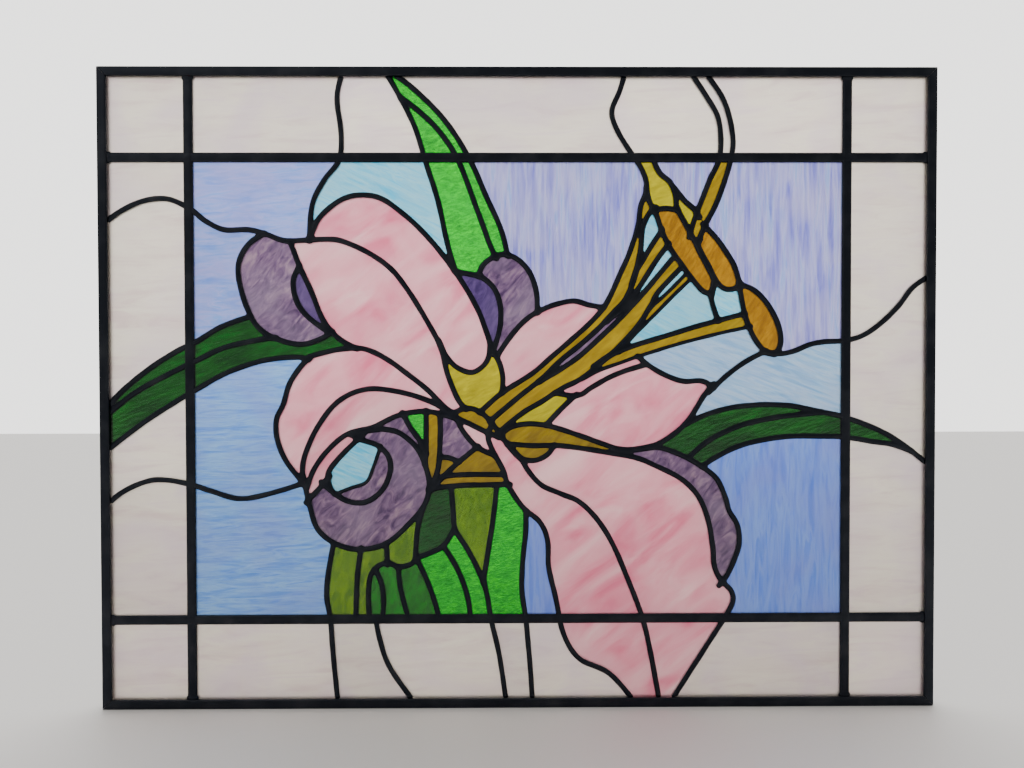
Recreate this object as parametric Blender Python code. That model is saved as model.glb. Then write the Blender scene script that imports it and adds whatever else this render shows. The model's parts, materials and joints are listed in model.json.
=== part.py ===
"""Stained glass window: a leaded panel with a lily in a white border, made to be fixed in a frame.

It stands in the XZ plane with its front towards -Y and the middle of its lower edge at the origin.
The net of seams is one piece, as thick as the glass and a bead of solder on each face, and each
pane sits in its own opening. A came of U section goes round the outside and holds them all.
"""

import math

import bmesh
import bpy
import numpy as np
from mathutils import Vector
from mathutils.geometry import delaunay_2d_cdt

MM = 0.001

# Overall sizes and the border, in millimetres
PANEL_WIDTH = 600.0
PANEL_HEIGHT = 460.0
BORDER_WIDTH = 64.0      # outer edge to the middle of a border bar

# Outer came
CAME_FACE = 6.7          # what shows of it from the front
CAME_DEPTH = 8.0
CAME_WEB = 2.0           # thickness of its outer wall

# Leadwork
BAR_FACE = 7.0
SEAM_FACE = 3.9
SOLDER_HEIGHT = 1.0      # of the bead on each face, over the clearance round the glass
DROP_RADIUS = 0.6        # of solder in a corner between two openings

# Glass
GLASS_THICKNESS = 3.0
FIT_GAP = 0.3            # clearance between any two pieces

# How the cartoon is turned into solids
CURVE_TOLERANCE = 1.1    # how far a straight run may lie from the curve
SMALLEST_OPENING = 1.5   # square millimetres of glass that would still be left open
WELD_DISTANCE = 0.1

CORE_HALF_HEIGHT = GLASS_THICKNESS / 2 + FIT_GAP       # of a seam between two panes
BEAD_HALF_HEIGHT = CORE_HALF_HEIGHT + SOLDER_HEIGHT
CHANNEL_HALF_HEIGHT = CORE_HALF_HEIGHT + FIT_GAP       # inside the came
CORE_INSET = CAME_WEB + FIT_GAP                        # of the net and the glass, in the came
BEAD_INSET = CAME_FACE + FIT_GAP

# The cartoon, the drawing that the glass is cut to. Its points are (across, down) in the
# photograph's pixels, and these corners of the panel there tie them to the real panel.
PHOTO_TOP_LEFT = (95.5, 63.7)
PHOTO_TOP_RIGHT = (938.7, 68.9)
PHOTO_BOTTOM_LEFT = (101.5, 708.0)
PHOTO_BOTTOM_RIGHT = (933.4, 707.9)
DRAWN_BORDER_ACROSS = 0.1067   # share of the drawn width at the border bars
DRAWN_BORDER_UP = 0.1391       # share of the drawn height at the border bars

SEAMS = {
    # Lines that cross the border at the top
    "sky_top_left": [(341, 67), (335, 95), (339, 130), (337, 157), (322, 177), (310, 202), (307, 240)],
    "top_leaf_left": [(381, 66), (396, 91), (413, 125), (424, 160), (436, 198), (445, 239), (454, 270)],
    "top_leaf_rib": [(397, 94), (411, 104), (435, 126), (456, 157), (475, 206), (489, 244), (496, 258)],
    "top_leaf_right": [(386, 68), (411, 86), (442, 117), (467, 155), (485, 195), (499, 226), (507, 256)],
    "top_cloud_left": [(626, 66), (619, 90), (611, 110), (617, 130), (634, 157)],
    "style_left": [(687, 66), (706, 95), (719, 120), (720, 155), (710, 178), (702, 198), (694, 219),
                   (688, 238)],
    "style_right": [(702, 66), (724, 100), (733, 135), (731, 158), (723, 185), (715, 205), (706, 222),
                    (697, 242)],
    # Lines that cross the border at the right
    "sky_right": [(936, 273), (915, 287), (900, 306), (882, 323), (864, 335), (846, 340), (826, 341),
                  (810, 344), (795, 350), (780, 353), (764, 351)],
    "right_leaf_top": [(936, 469), (905, 445), (880, 430), (846, 417), (820, 411), (790, 405), (760, 404),
                       (730, 407), (705, 414), (684, 424)],
    "right_leaf_foot": [(915, 452), (895, 445), (870, 441), (846, 437), (820, 436), (790, 436), (760, 440),
                        (735, 447), (715, 457), (700, 467)],
    "right_leaf_rib": [(825, 412), (800, 414), (770, 418), (740, 425), (715, 436), (700, 446), (687, 458)],
    # Lines that cross the border at the left
    "upper_petal_foot": [(97, 223), (117, 208), (141, 197), (165, 195), (188, 205), (203, 217), (222, 226),
                         (245, 226), (262, 230), (281, 237), (300, 237), (323, 236), (340, 238), (365, 249),
                         (389, 266), (407, 289), (423, 315), (438, 343), (446, 373), (456, 397), (466, 409)],
    "left_leaf_top": [(97, 410), (121, 386), (148, 364), (175, 347), (194, 338), (219, 323), (250, 312)],
    "left_leaf_rib": [(97, 416), (131, 390), (165, 371), (194, 357), (222, 344), (253, 337), (276, 334)],
    "left_leaf_foot": [(97, 451), (141, 419), (172, 399), (194, 386), (225, 369), (262, 357), (295, 354),
                       (309, 357)],
    "sky_left": [(97, 506), (120, 489), (145, 478), (165, 477), (190, 482), (208, 488), (236, 496),
                 (264, 492), (301, 481)],
    # Lines that cross the border at the bottom
    "stems_left": [(331, 542), (326, 570), (324, 595), (328, 620), (331, 660), (336, 708)],
    "border_stem": [(373, 618), (378, 642), (388, 669), (415, 708)],
    "stems_middle": [(481, 578), (486, 600), (489, 620), (497, 655), (505, 708)],
    "stems_right": [(524, 508), (524, 530), (521, 560), (520, 590), (524, 620), (528, 665), (531, 708)],
    "low_petal_left": [(491, 420), (486, 434), (491, 449), (501, 468), (507, 485), (521, 506), (538, 521), (546, 540),
                       (547, 567), (554, 598), (562, 635), (578, 660), (608, 675), (637, 708)],
    "low_petal_rib": [(497, 432), (508, 445), (519, 457), (527, 470), (540, 484), (560, 493), (578, 501),
                      (596, 519), (611, 543), (624, 573), (641, 618), (650, 657), (659, 708)],
    "low_petal_right": [(503, 442), (530, 444), (555, 444), (580, 447), (610, 452), (636, 457), (655, 465),
                        (680, 478), (697, 495), (707, 518), (712, 545), (714, 567), (720, 580), (731, 592),
                        (732, 604), (722, 622), (704, 650), (667, 708)],
    # Upper and left petals, with the buds behind them
    "upper_petal": [(307, 238), (315, 218), (327, 205), (343, 195), (361, 192), (380, 196), (400, 210),
                    (420, 228), (440, 251), (460, 279), (475, 305), (483, 325), (488, 342), (485, 359),
                    (471, 370), (455, 365), (444, 353), (436, 336)],
    "left_bud": [(264, 229), (248, 239), (238, 254), (236, 272), (243, 300), (256, 324), (278, 337),
                 (301, 341), (320, 335), (332, 327)],
    "left_bud_fold": [(298, 260), (291, 277), (294, 297), (305, 313), (327, 330)],
    "wide_petal_top": [(287, 236), (297, 262), (309, 288), (321, 317), (336, 335), (357, 347)],
    "wide_petal_foot": [(305, 354), (320, 350), (340, 346), (362, 346), (384, 356), (406, 372), (426, 388),
                        (444, 406), (455, 413)],
    "curled_petal_back": [(309, 353), (298, 364), (287, 381), (281, 401), (274, 417), (275, 437),
                          (284, 459), (303, 483)],
    "curled_petal_middle": [(453, 413), (428, 399), (400, 390), (372, 386), (351, 390), (332, 402),
                            (316, 423), (304, 448), (300, 467), (303, 483)],
    "curled_petal_front": [(460, 419), (440, 412), (420, 409), (396, 413), (370, 425), (346, 431),
                           (327, 446), (312, 466), (304, 487)],
    "curl_throat": [(363, 430), (341, 451), (327, 468), (326, 479), (329, 489)],
    "curl_outside": [(302, 480), (307, 503), (315, 527), (333, 542), (357, 548), (384, 542), (408, 521),
                     (423, 502), (427, 483), (423, 463), (414, 445), (398, 431), (383, 427), (370, 428),
                     (356, 429)],
    "curl_inside": [(346, 431), (358, 437), (375, 443), (386, 454), (388, 469), (380, 488), (364, 500),
                    (345, 499), (328, 488), (317, 478)],
    "curl_foot": [(329, 472), (316, 487), (302, 502)],
    "top_leaf_foot": [(451, 268), (465, 271), (481, 274)],
    "middle_bud_left": [(477, 272), (491, 284), (498, 300), (499, 320), (495, 338), (490, 352)],
    "middle_bud_right": [(476, 276), (481, 263), (491, 255), (503, 252), (516, 257), (528, 270),
                         (535, 290), (536, 313)],
    "back_petal": [(495, 355), (504, 341), (514, 328), (525, 317), (536, 310), (552, 303), (572, 299),
                   (588, 303), (605, 306)],
    # Heart of the flower
    "cup_right": [(488, 346), (497, 359), (501, 375), (500, 393)],
    "heart_green_left": [(399, 408), (408, 425), (418, 439), (425, 454)],
    "heart_amber_left": [(424, 406), (424, 442), (423, 465)],
    "heart_amber_right": [(438, 410), (438, 436), (436, 466), (428, 490)],
    "heart_violet_foot": [(454, 414), (461, 429), (475, 445), (495, 455)],
    "heart_tent_left": [(478, 443), (457, 460), (440, 476), (426, 491)],
    "heart_tent_foot": [(439, 475), (461, 473), (504, 473)],
    "heart_bed": [(424, 488), (456, 484), (511, 483)],
    "heart_cap": [(448, 412), (466, 406), (481, 412), (493, 425), (502, 437)],
    # Stamens and anthers
    "filament_1_top": [(633, 154), (643, 172), (646, 187), (640, 205), (637, 225), (629, 250), (618, 275),
                       (605, 302), (590, 320), (570, 338), (550, 355), (530, 372), (500, 391), (476, 412)],
    "filament_1_foot": [(486, 421), (505, 405), (522, 391), (540, 377), (560, 358), (580, 342), (600, 324),
                        (612, 311), (624, 298), (632, 281), (636, 266), (640, 248), (642, 227), (649, 211),
                        (657, 204)],
    "filament_2_top": [(536, 381), (560, 367), (580, 353), (600, 335), (618, 318), (632, 303), (644, 290),
                       (660, 271), (675, 254)],
    "filament_2_foot": [(496, 432), (508, 421), (524, 409), (540, 400), (560, 387), (580, 377), (600, 361),
                        (620, 343), (638, 323), (650, 304), (658, 290), (677, 270), (687, 260)],
    "filament_3_top": [(663, 226), (651, 244), (642, 259), (635, 270), (630, 285)],
    "filament_3_foot": [(670, 240), (657, 257), (648, 271), (636, 289), (624, 304), (604, 321)],
    "filament_4_foot": [(617, 352), (623, 345), (634, 333), (654, 313), (672, 295), (696, 272)],
    "filament_5_top": [(590, 366), (607, 355), (630, 345), (660, 336), (700, 324), (747, 312)],
    "filament_5_foot": [(580, 378), (600, 368), (620, 361), (640, 354), (680, 342), (720, 332), (753, 325)],
    "anther_1_left": [(645, 184), (649, 200), (656, 214), (662, 231), (670, 247), (682, 264), (693, 279),
                      (703, 290), (713, 293)],
    "anther_1_waist": [(651, 210), (664, 207), (680, 209)],
    "anther_1_right": [(651, 154), (659, 171), (670, 181), (675, 194), (677, 207), (685, 222), (694, 239),
                       (704, 257), (711, 270), (714, 282), (711, 296)],
    "anther_2_stalk": [(673, 185), (684, 199), (694, 208), (701, 218)],
    "anther_2_left": [(701, 236), (698, 245), (705, 260), (713, 275), (722, 286), (732, 288), (744, 283)],
    "anther_2_right": [(701, 221), (708, 228), (718, 239), (727, 252), (735, 266), (741, 287)],
    "anther_3_left": [(739, 279), (742, 300), (747, 320), (755, 338), (766, 351), (777, 353)],
    "anther_3_right": [(737, 283), (751, 287), (764, 298), (775, 315), (781, 333), (780, 347), (773, 355)],
    "anther_drop": [(714, 281), (711, 295), (714, 308), (719, 322)],
    "sky_under_anther": [(768, 349), (745, 361), (726, 375), (707, 393)],
    # Right petal
    "right_petal_top": [(552, 391), (576, 394), (590, 386), (608, 376), (625, 369), (646, 363)],
    "right_petal_edge": [(635, 353), (648, 364), (665, 374), (683, 380), (702, 380), (715, 388)],
    "right_petal_foot": [(715, 381), (704, 394), (696, 407), (688, 419), (676, 431), (661, 441), (648, 446),
                         (632, 449), (618, 448), (600, 442), (575, 433), (550, 425), (528, 422), (508, 426),
                         (495, 437)],
    "right_petal_left": [(577, 391), (560, 407), (543, 425)],
    "sepal": [(507, 444), (518, 456), (533, 459), (546, 453), (554, 442)],
    "low_bud": [(613, 449), (626, 449), (645, 447), (660, 447), (680, 454), (700, 465), (716, 478), (725, 497),
                (729, 511), (737, 525), (739, 543), (734, 560), (726, 577), (717, 588)],
    # Stems and grass under the flower
    "stem_1": [(359, 544), (355, 575), (353, 622)],
    "stem_2": [(384, 540), (385, 566)],
    "stem_arch": [(367, 622), (366, 595), (368, 575), (376, 565), (386, 562), (397, 566), (409, 563),
                  (415, 557), (430, 551), (442, 544), (453, 526)],
    "stem_3": [(421, 505), (415, 530), (413, 561)],
    "stem_4": [(449, 484), (451, 510), (453, 528), (464, 546), (474, 565), (483, 586)],
    "stem_5": [(495, 482), (492, 512), (487, 545), (481, 584)],
    "blade_2": [(396, 564), (398, 587), (407, 622)],
    "blade_3": [(413, 555), (424, 578), (432, 600), (438, 622)],
    "blade_4": [(440, 543), (453, 564), (462, 585), (467, 605), (468, 622)],
}

# Seams that lie on both faces of one pane, where small or like pieces of glass are one solid here
SEAMS_ON_ONE_PANE = (
    "sky_top_left", "top_leaf_rib", "left_leaf_rib", "right_leaf_rib", "border_stem", "style_left",
    "blade_2", "blade_3", "blade_4", "stem_1", "stem_2", "stem_3", "stem_5", "heart_green_left",
    "heart_amber_left", "heart_amber_right", "heart_tent_left", "heart_tent_foot", "curl_throat",
    "left_bud_fold", "middle_bud_left", "filament_1_foot", "filament_2_top", "filament_2_foot",
    "filament_3_top", "filament_3_foot", "anther_1_waist", "anther_drop",
    "sky_under_anther",
)
SEAMS_ON_ONE_PANE_IN_BORDER = (
    "top_cloud_left", "style_right", "sky_right", "upper_petal_foot", "sky_left", "stems_left",
    "stems_middle", "stems_right", "low_petal_rib",
)

# Each pane's name, with its glass and a cartoon point that lies in it
PANES = {
    "corner_top_left": ("white", (131, 99)),
    "corner_top_right": ("white", (890, 103)),
    "corner_bottom_left": ("white", (150, 674)),
    "corner_bottom_right": ("white", (890, 674)),
    "border_top_left": ("white", (239, 106)),
    "border_top_leaf": ("green", (419, 123)),
    "border_top_right": ("white", (485, 97)),
    "border_right_upper": ("white", (890, 240)),
    "border_right_leaf": ("green", (860, 432)),
    "border_right_lower": ("white", (890, 566)),
    "border_left_upper": ("white", (126, 325)),
    "border_left_leaf": ("green", (129, 418)),
    "border_left_lower": ("white", (139, 450)),
    "border_bottom_left": ("white", (241, 668)),
    "border_petal": ("pink", (635, 664)),
    "border_bottom_right": ("white", (750, 671)),
    "sky_top_left": ("blue", (235, 181)),
    "top_leaf": ("green", (463, 211)),
    "sky_top_middle": ("blue", (545, 198)),
    "sky_by_styles": ("blue", (690, 184)),
    "sky_top_right": ("blue", (780, 208)),
    "sky_left_upper": ("blue", (212, 278)),
    "left_leaf": ("green", (228, 333)),
    "sky_left_middle": ("blue", (220, 437)),
    "sky_left_lower": ("blue", (250, 571)),
    "left_bud": ("violet", (261, 293)),
    "upper_petal": ("pink", (425, 287)),
    "wide_petal": ("pink", (398, 319)),
    "curled_petal_back": ("pink", (339, 367)),
    "curled_petal_front": ("pink", (382, 400)),
    "curl_throat": ("blue", (351, 464)),
    "curl": ("violet", (400, 500)),
    "heart_pieces": ("amber", (431, 428)),
    "heart_cup": ("amber", (480, 390)),
    "heart_cap": ("amber", (475, 417)),
    "middle_bud": ("violet", (515, 290)),
    "back_petal": ("pink", (560, 327)),
    "stamens": ("amber", (560, 374)),
    "right_petal": ("pink", (616, 403)),
    "anther_1": ("amber", (690, 254)),
    "anther_2": ("amber", (718, 262)),
    "anther_3": ("amber", (762, 318)),
    "sky_by_anthers": ("blue", (684, 310)),
    "sky_right_middle": ("blue", (780, 380)),
    "right_leaf": ("green", (712, 426)),
    "sky_right_lower": ("blue", (808, 538)),
    "low_petal_left": ("pink", (600, 581)),
    "low_petal_right": ("pink", (654, 540)),
    "low_bud": ("violet", (722, 530)),
    "short_sepal": ("amber", (532, 451)),
    "long_sepal": ("amber", (540, 435)),
    "sky_by_stems": ("blue", (538, 580)),
    "stems": ("green", (340, 588)),
    "wide_stem": ("green", (475, 520)),
    "grass": ("green", (437, 585)),
}

# Colours, as linear red, green and blue
GLASS_COLOURS = {
    "white": (0.62, 0.58, 0.50),
    "blue": (0.32, 0.42, 0.80),
    "pink": (0.72, 0.36, 0.42),
    "violet": (0.20, 0.12, 0.28),
    "green": (0.02, 0.20, 0.02),
    "amber": (0.45, 0.30, 0.02),
}
METAL_COLOUR = (0.010, 0.012, 0.018)


def on_panel(point):
    """Where a cartoon point lies on the real panel, in millimetres from its lower left corner."""
    x, y = point
    down = (y - PHOTO_TOP_LEFT[1]) / (PHOTO_BOTTOM_LEFT[1] - PHOTO_TOP_LEFT[1])
    left = PHOTO_TOP_LEFT[0] + (PHOTO_BOTTOM_LEFT[0] - PHOTO_TOP_LEFT[0]) * down
    right = PHOTO_TOP_RIGHT[0] + (PHOTO_BOTTOM_RIGHT[0] - PHOTO_TOP_RIGHT[0]) * down
    across = (x - left) / (right - left)
    top = PHOTO_TOP_LEFT[1] + (PHOTO_TOP_RIGHT[1] - PHOTO_TOP_LEFT[1]) * across
    bottom = PHOTO_BOTTOM_LEFT[1] + (PHOTO_BOTTOM_RIGHT[1] - PHOTO_BOTTOM_LEFT[1]) * across
    up = (bottom - y) / (bottom - top)
    return Vector((stretched(across, DRAWN_BORDER_ACROSS, PANEL_WIDTH),
                   stretched(up, DRAWN_BORDER_UP, PANEL_HEIGHT)))


def stretched(share, drawn_border, size):
    """A drawn share of a side as millimetres, with the border and the field each in proportion."""
    return float(np.interp(share, (0.0, drawn_border, 1.0 - drawn_border, 1.0),
                           (0.0, BORDER_WIDTH, size - BORDER_WIDTH, size)))


def smooth_line(points):
    """A curve through the points, as straight runs that stay within CURVE_TOLERANCE of it."""
    ends = [2 * points[0] - points[1]] + points + [2 * points[-1] - points[-2]]
    steps = 10
    fine = []
    for before, start, end, after in zip(ends, ends[1:], ends[2:], ends[3:]):
        for step in range(steps):
            t = step / steps
            fine.append(0.5 * (2 * start + (end - before) * t
                               + (2 * before - 5 * start + 4 * end - after) * t ** 2
                               + (3 * start - before - 3 * end + after) * t ** 3))
    fine.append(points[-1])
    return straight_runs(fine)


def straight_runs(line):
    """The fewest corners that keep a line within CURVE_TOLERANCE, found by halving it at its furthest."""
    run = line[-1] - line[0]
    along = run.normalized() if run.length > 0 else Vector((1.0, 0.0))
    offsets = [abs(along.cross(point - line[0])) for point in line]
    furthest = max(range(len(line)), key=offsets.__getitem__)
    if offsets[furthest] <= CURVE_TOLERANCE:
        return [line[0], line[-1]]
    return straight_runs(line[:furthest + 1])[:-1] + straight_runs(line[furthest:])


def seam_lines():
    """Every seam and border bar as (name, its points in millimetres)."""
    lines = [(name, smooth_line([on_panel(point) for point in points])) for name, points in SEAMS.items()]
    for name, x in (("bar_left", BORDER_WIDTH), ("bar_right", PANEL_WIDTH - BORDER_WIDTH)):
        lines.append((name, [Vector((x, 0.0)), Vector((x, PANEL_HEIGHT))]))
    for name, z in (("bar_bottom", BORDER_WIDTH), ("bar_top", PANEL_HEIGHT - BORDER_WIDTH)):
        lines.append((name, [Vector((0.0, z)), Vector((PANEL_WIDTH, z))]))
    return lines


def ribbon(points, half_width):
    """The pieces of a strip along a line, mitred where the line turns.

    A piece has four corners, or is two triangles where a tight turn would make it cross itself.
    """
    sides = []
    for index, point in enumerate(points):
        before = points[max(index - 1, 0)]
        after = points[min(index + 1, len(points) - 1)]
        first = (point - before).normalized() if index else (after - point).normalized()
        last = (after - point).normalized() if index < len(points) - 1 else first
        along = (first + last).normalized()
        reach = half_width / max(along.dot(first), 0.5)
        across = Vector((-along.y, along.x)) * reach
        sides.append((point + across, point - across))
    pieces = []
    for a, b in zip(sides, sides[1:]):
        piece = [a[0], a[1], b[1], b[0]]
        turns = [(after - here).cross(here - before) for before, here, after
                 in zip(piece[-1:] + piece[:-1], piece, piece[1:] + piece[:1])]
        if min(turns) > 0 or max(turns) < 0:
            pieces.append(piece)
        else:
            pieces += [[a[0], a[1], b[1]], [a[0], b[1], b[0]]]
    return pieces


def anticlockwise(outline):
    """The outline with its corners in anticlockwise order."""
    doubled_area = sum(a.cross(b) for a, b in zip(outline, outline[1:] + outline[:1]))
    return outline if doubled_area > 0 else outline[::-1]


def face_width(name):
    """The width of a line of metal as it shows from the front."""
    return BAR_FACE if name.startswith("bar_") else SEAM_FACE


def rectangle(inset):
    """The panel's four corners, an inset in from its edges."""
    return [Vector(corner) for corner in ((inset, inset), (PANEL_WIDTH - inset, inset),
                                          (PANEL_WIDTH - inset, PANEL_HEIGHT - inset),
                                          (inset, PANEL_HEIGHT - inset))]


def divide(outlines):
    """Divide the first outline's area into triangles, each with the numbers of the outlines over it.

    The outlines bulge outwards all round, so a triangle lies in one if its middle does.
    """
    outlines = [anticlockwise(outline) for outline in outlines]
    points = []
    corners = []
    for outline in outlines:
        corners.append(list(range(len(points), len(points) + len(outline))))
        points.extend(outline)
    result = delaunay_2d_cdt(points, [], corners, 0, WELD_DISTANCE / 4, False)
    points, faces = result[0], [list(face) for face in result[2]]
    across, up = np.array([sum((points[corner] for corner in face), Vector((0.0, 0.0))) / len(face)
                           for face in faces]).T
    sources = [set() for face in faces]
    for number, outline in enumerate(outlines):
        inside = np.ones(len(faces), bool)
        for a, b in zip(outline, outline[1:] + outline[:1]):
            inside &= (b.x - a.x) * (up - a.y) >= (b.y - a.y) * (across - a.x)
        for index in np.nonzero(inside)[0]:
            sources[index].add(number)
    return welded(points, [(face, source) for face, source in zip(faces, sources) if 0 in source])


def welded(points, faces):
    """The same triangles with corners closer than WELD_DISTANCE made one, and none left flat."""
    cells = {}
    same = {}
    for index in sorted({corner for face, source in faces for corner in face}):
        cell = tuple(int(math.floor(value / WELD_DISTANCE)) for value in points[index])
        near = [other for across in (-1, 0, 1) for up in (-1, 0, 1)
                for other in cells.get((cell[0] + across, cell[1] + up), ())
                if (points[other] - points[index]).length < WELD_DISTANCE]
        same[index] = near[0] if near else index
        if not near:
            cells.setdefault(cell, []).append(index)
    kept = {}
    for face, source in faces:
        face = [same[corner] for corner in face]
        if len(set(face)) == 3:
            if frozenset(face) in kept:
                del kept[frozenset(face)]    # two that welding has folded flat on each other
            else:
                kept[frozenset(face)] = (face, source)
    return points, list(kept.values())


def openings(faces, is_open):
    """The connected areas of the triangles that are open."""
    glass = [index for index, (face, source) in enumerate(faces) if is_open(source)]
    by_edge = {}
    for index in glass:
        face = faces[index][0]
        for a, b in zip(face, face[1:] + face[:1]):
            by_edge.setdefault(frozenset((a, b)), []).append(index)
    neighbours = {index: set() for index in glass}
    for pair in by_edge.values():
        for index in pair:
            neighbours[index].update(pair)
    areas = []
    waiting = set(glass)
    while waiting:
        area = {min(waiting)}
        front = list(area)
        while front:
            new = neighbours[front.pop()] - area
            area |= new
            front.extend(new)
        waiting -= area
        areas.append(sorted(area))
    return areas


def size_of(points, faces, area):
    """The size of an area in square millimetres."""
    total = 0.0
    for index in area:
        a, b, c = (points[corner] for corner in faces[index][0][:3])
        total += abs((b - a).cross(c - a)) / 2
    return total


def holds(points, faces, area, spot):
    """Whether a spot lies in an area."""
    for index in area:
        a, b, c = (points[corner] for corner in faces[index][0][:3])
        turns = [(q - p).cross(spot - p) for p, q in ((a, b), (b, c), (c, a))]
        if min(turns) >= 0 or max(turns) <= 0:
            return True
    return False


def full_depth(lines):
    """The lines that part two panes: all but those, or those border ends, that lie on one pane."""
    kept = []
    for name, line in lines:
        if name in SEAMS_ON_ONE_PANE:
            continue
        if name in SEAMS_ON_ONE_PANE_IN_BORDER:
            line = stretch_in_field(line)
        if len(line) > 1:
            kept.append((name, line))
    return kept


def stretch_in_field(line):
    """The part of a line that lies between the border bars, cut at the middle of a bar."""
    low = Vector((BORDER_WIDTH, BORDER_WIDTH))
    high = Vector((PANEL_WIDTH - BORDER_WIDTH, PANEL_HEIGHT - BORDER_WIDTH))
    stretch = []
    for start, end in zip(line, line[1:]):
        enter, leave = 0.0, 1.0
        run = end - start
        for axis in range(2):
            if abs(run[axis]) < 1e-9:
                if not low[axis] <= start[axis] <= high[axis]:
                    leave = -1.0
                continue
            at_low, at_high = sorted(((low[axis] - start[axis]) / run[axis],
                                      (high[axis] - start[axis]) / run[axis]))
            enter, leave = max(enter, at_low), min(leave, at_high)
        if leave - enter > 1e-6:
            if not stretch:
                stretch.append(start + run * enter)
            stretch.append(start + run * leave)
    return stretch


def strips(lines, extra):
    """The outlines of all the lines, each extra millimetres wider than the line on each side."""
    return [piece for name, line in lines for piece in ribbon(line, face_width(name) / 2 + extra)]


def boundary(faces, filled):
    """The edges round the filled triangles, each as its first and last corner."""
    edges = []
    known = set()
    for index, (face, source) in enumerate(faces):
        if filled[index]:
            for edge in zip(face, face[1:] + face[:1]):
                known.add(edge)
    for a, b in sorted(known):
        if (b, a) not in known:
            edges.append((a, b))
    return edges


def pinches(points, faces, filled):
    """Where two openings, or two filled areas, meet in one corner."""
    starts = {}
    for a, b in boundary(faces, filled):
        starts[a] = starts.get(a, 0) + 1
    return [points[corner] for corner, count in starts.items() if count > 1]


def solid_in_layers(name, points, faces, layers):
    """One solid of stacked layers, each given as (low, high, which triangles are filled) in millimetres."""
    shape = bmesh.new()
    corners = {}

    def corner(index, depth):
        key = (index, depth)
        if key not in corners:
            place = points[index]
            corners[key] = shape.verts.new(((place.x - PANEL_WIDTH / 2) * MM, depth * MM, place.y * MM))
        return corners[key]

    empty = [False] * len(faces)
    levels = [(layers[0][0], empty, layers[0][2])]
    levels += [(lower[1], lower[2], upper[2]) for lower, upper in zip(layers, layers[1:])]
    levels.append((layers[-1][1], layers[-1][2], empty))
    for depth, before, behind in levels:
        for index, (face, source) in enumerate(faces):
            if before[index] != behind[index]:
                shape.faces.new([corner(place, depth) for place in face])
    for low, high, filled in layers:
        for a, b in boundary(faces, filled):
            shape.faces.new((corner(a, low), corner(b, low), corner(b, high), corner(a, high)))
    bmesh.ops.recalc_face_normals(shape, faces=shape.faces)
    bmesh.ops.dissolve_limit(shape, angle_limit=math.radians(0.05), verts=shape.verts, edges=shape.edges)
    bmesh.ops.triangulate(shape, faces=shape.faces)
    mesh = bpy.data.meshes.new(name)
    shape.to_mesh(mesh)
    shape.free()
    return bpy.data.objects.new(name, mesh)


def material(name, colour, roughness, metallic, alpha=1.0):
    """A plain material for one kind of glass or for the metal."""
    made = bpy.data.materials.new(name)
    made.use_nodes = True
    shader = made.node_tree.nodes["Principled BSDF"]
    shader.inputs["Base Color"].default_value = (*colour, 1.0)
    shader.inputs["Roughness"].default_value = roughness
    shader.inputs["Metallic"].default_value = metallic
    shader.inputs["Alpha"].default_value = alpha
    return made


def drop_outlines(places, radius):
    """A small square of solder, corner up, at each place."""
    return [[place + Vector(corner) * radius for corner in ((1, 0), (0, 1), (-1, 0), (0, -1))]
            for place in places]


def make_leadwork(collection, lines, metal):
    """The net of bars and seams, and the places of its drops of solder.

    A drop closes each corner where two openings would otherwise meet.
    """
    cores = strips(full_depth(lines), 0.0)
    beads = strips(lines, 0.0)
    first_bead = 2 + len(cores)
    drops = []
    for attempt in range(6):
        outlines = [rectangle(CORE_INSET), rectangle(BEAD_INSET)] + cores + beads
        first_drop = len(outlines)
        outlines += drop_outlines(drops, DROP_RADIUS)
        points, faces = divide(outlines)

        def has_core(source):
            return any(2 <= number < first_bead or number >= first_drop for number in source)

        def has_bead(source):
            return 1 in source and any(number >= first_bead for number in source)

        core = [has_core(source) for face, source in faces]
        bead = [has_bead(source) for face, source in faces]
        for area in openings(faces, lambda source: not has_core(source)):
            if not any(holds(points, faces, area, on_panel(spot)) for glass, spot in PANES.values()):
                for index in area:
                    core[index] = True
                    bead[index] = 1 in faces[index][1]
        for area in openings(faces, lambda source: 1 in source and not has_bead(source)):
            if size_of(points, faces, area) < SMALLEST_OPENING:
                for index in area:
                    bead[index] = True
        found = pinches(points, faces, core) + pinches(points, faces, bead)
        if not found:
            break
        drops += found
    leadwork = solid_in_layers("leadwork", points, faces, (
        (-BEAD_HALF_HEIGHT, -CORE_HALF_HEIGHT, bead),
        (-CORE_HALF_HEIGHT, CORE_HALF_HEIGHT, core),
        (CORE_HALF_HEIGHT, BEAD_HALF_HEIGHT, bead)))
    leadwork.data.materials.append(metal)
    collection.objects.link(leadwork)
    return drops


def make_panes(collection, lines, drops, glasses):
    """One flat pane in each opening of the net, with clearance all round."""
    points, faces = divide([rectangle(CORE_INSET)] + strips(full_depth(lines), FIT_GAP)
                           + drop_outlines(drops, DROP_RADIUS + 2 * FIT_GAP))
    areas = openings(faces, lambda source: len(source) == 1)
    for name, (glass, spot) in PANES.items():
        for area in areas:
            if holds(points, faces, area, on_panel(spot)):
                pane_faces = [faces[index] for index in area]
                pane = solid_in_layers(name, points, pane_faces, (
                    (-GLASS_THICKNESS / 2, GLASS_THICKNESS / 2, [True] * len(pane_faces)),))
                pane.data.materials.append(glasses[glass])
                collection.objects.link(pane)


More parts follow.
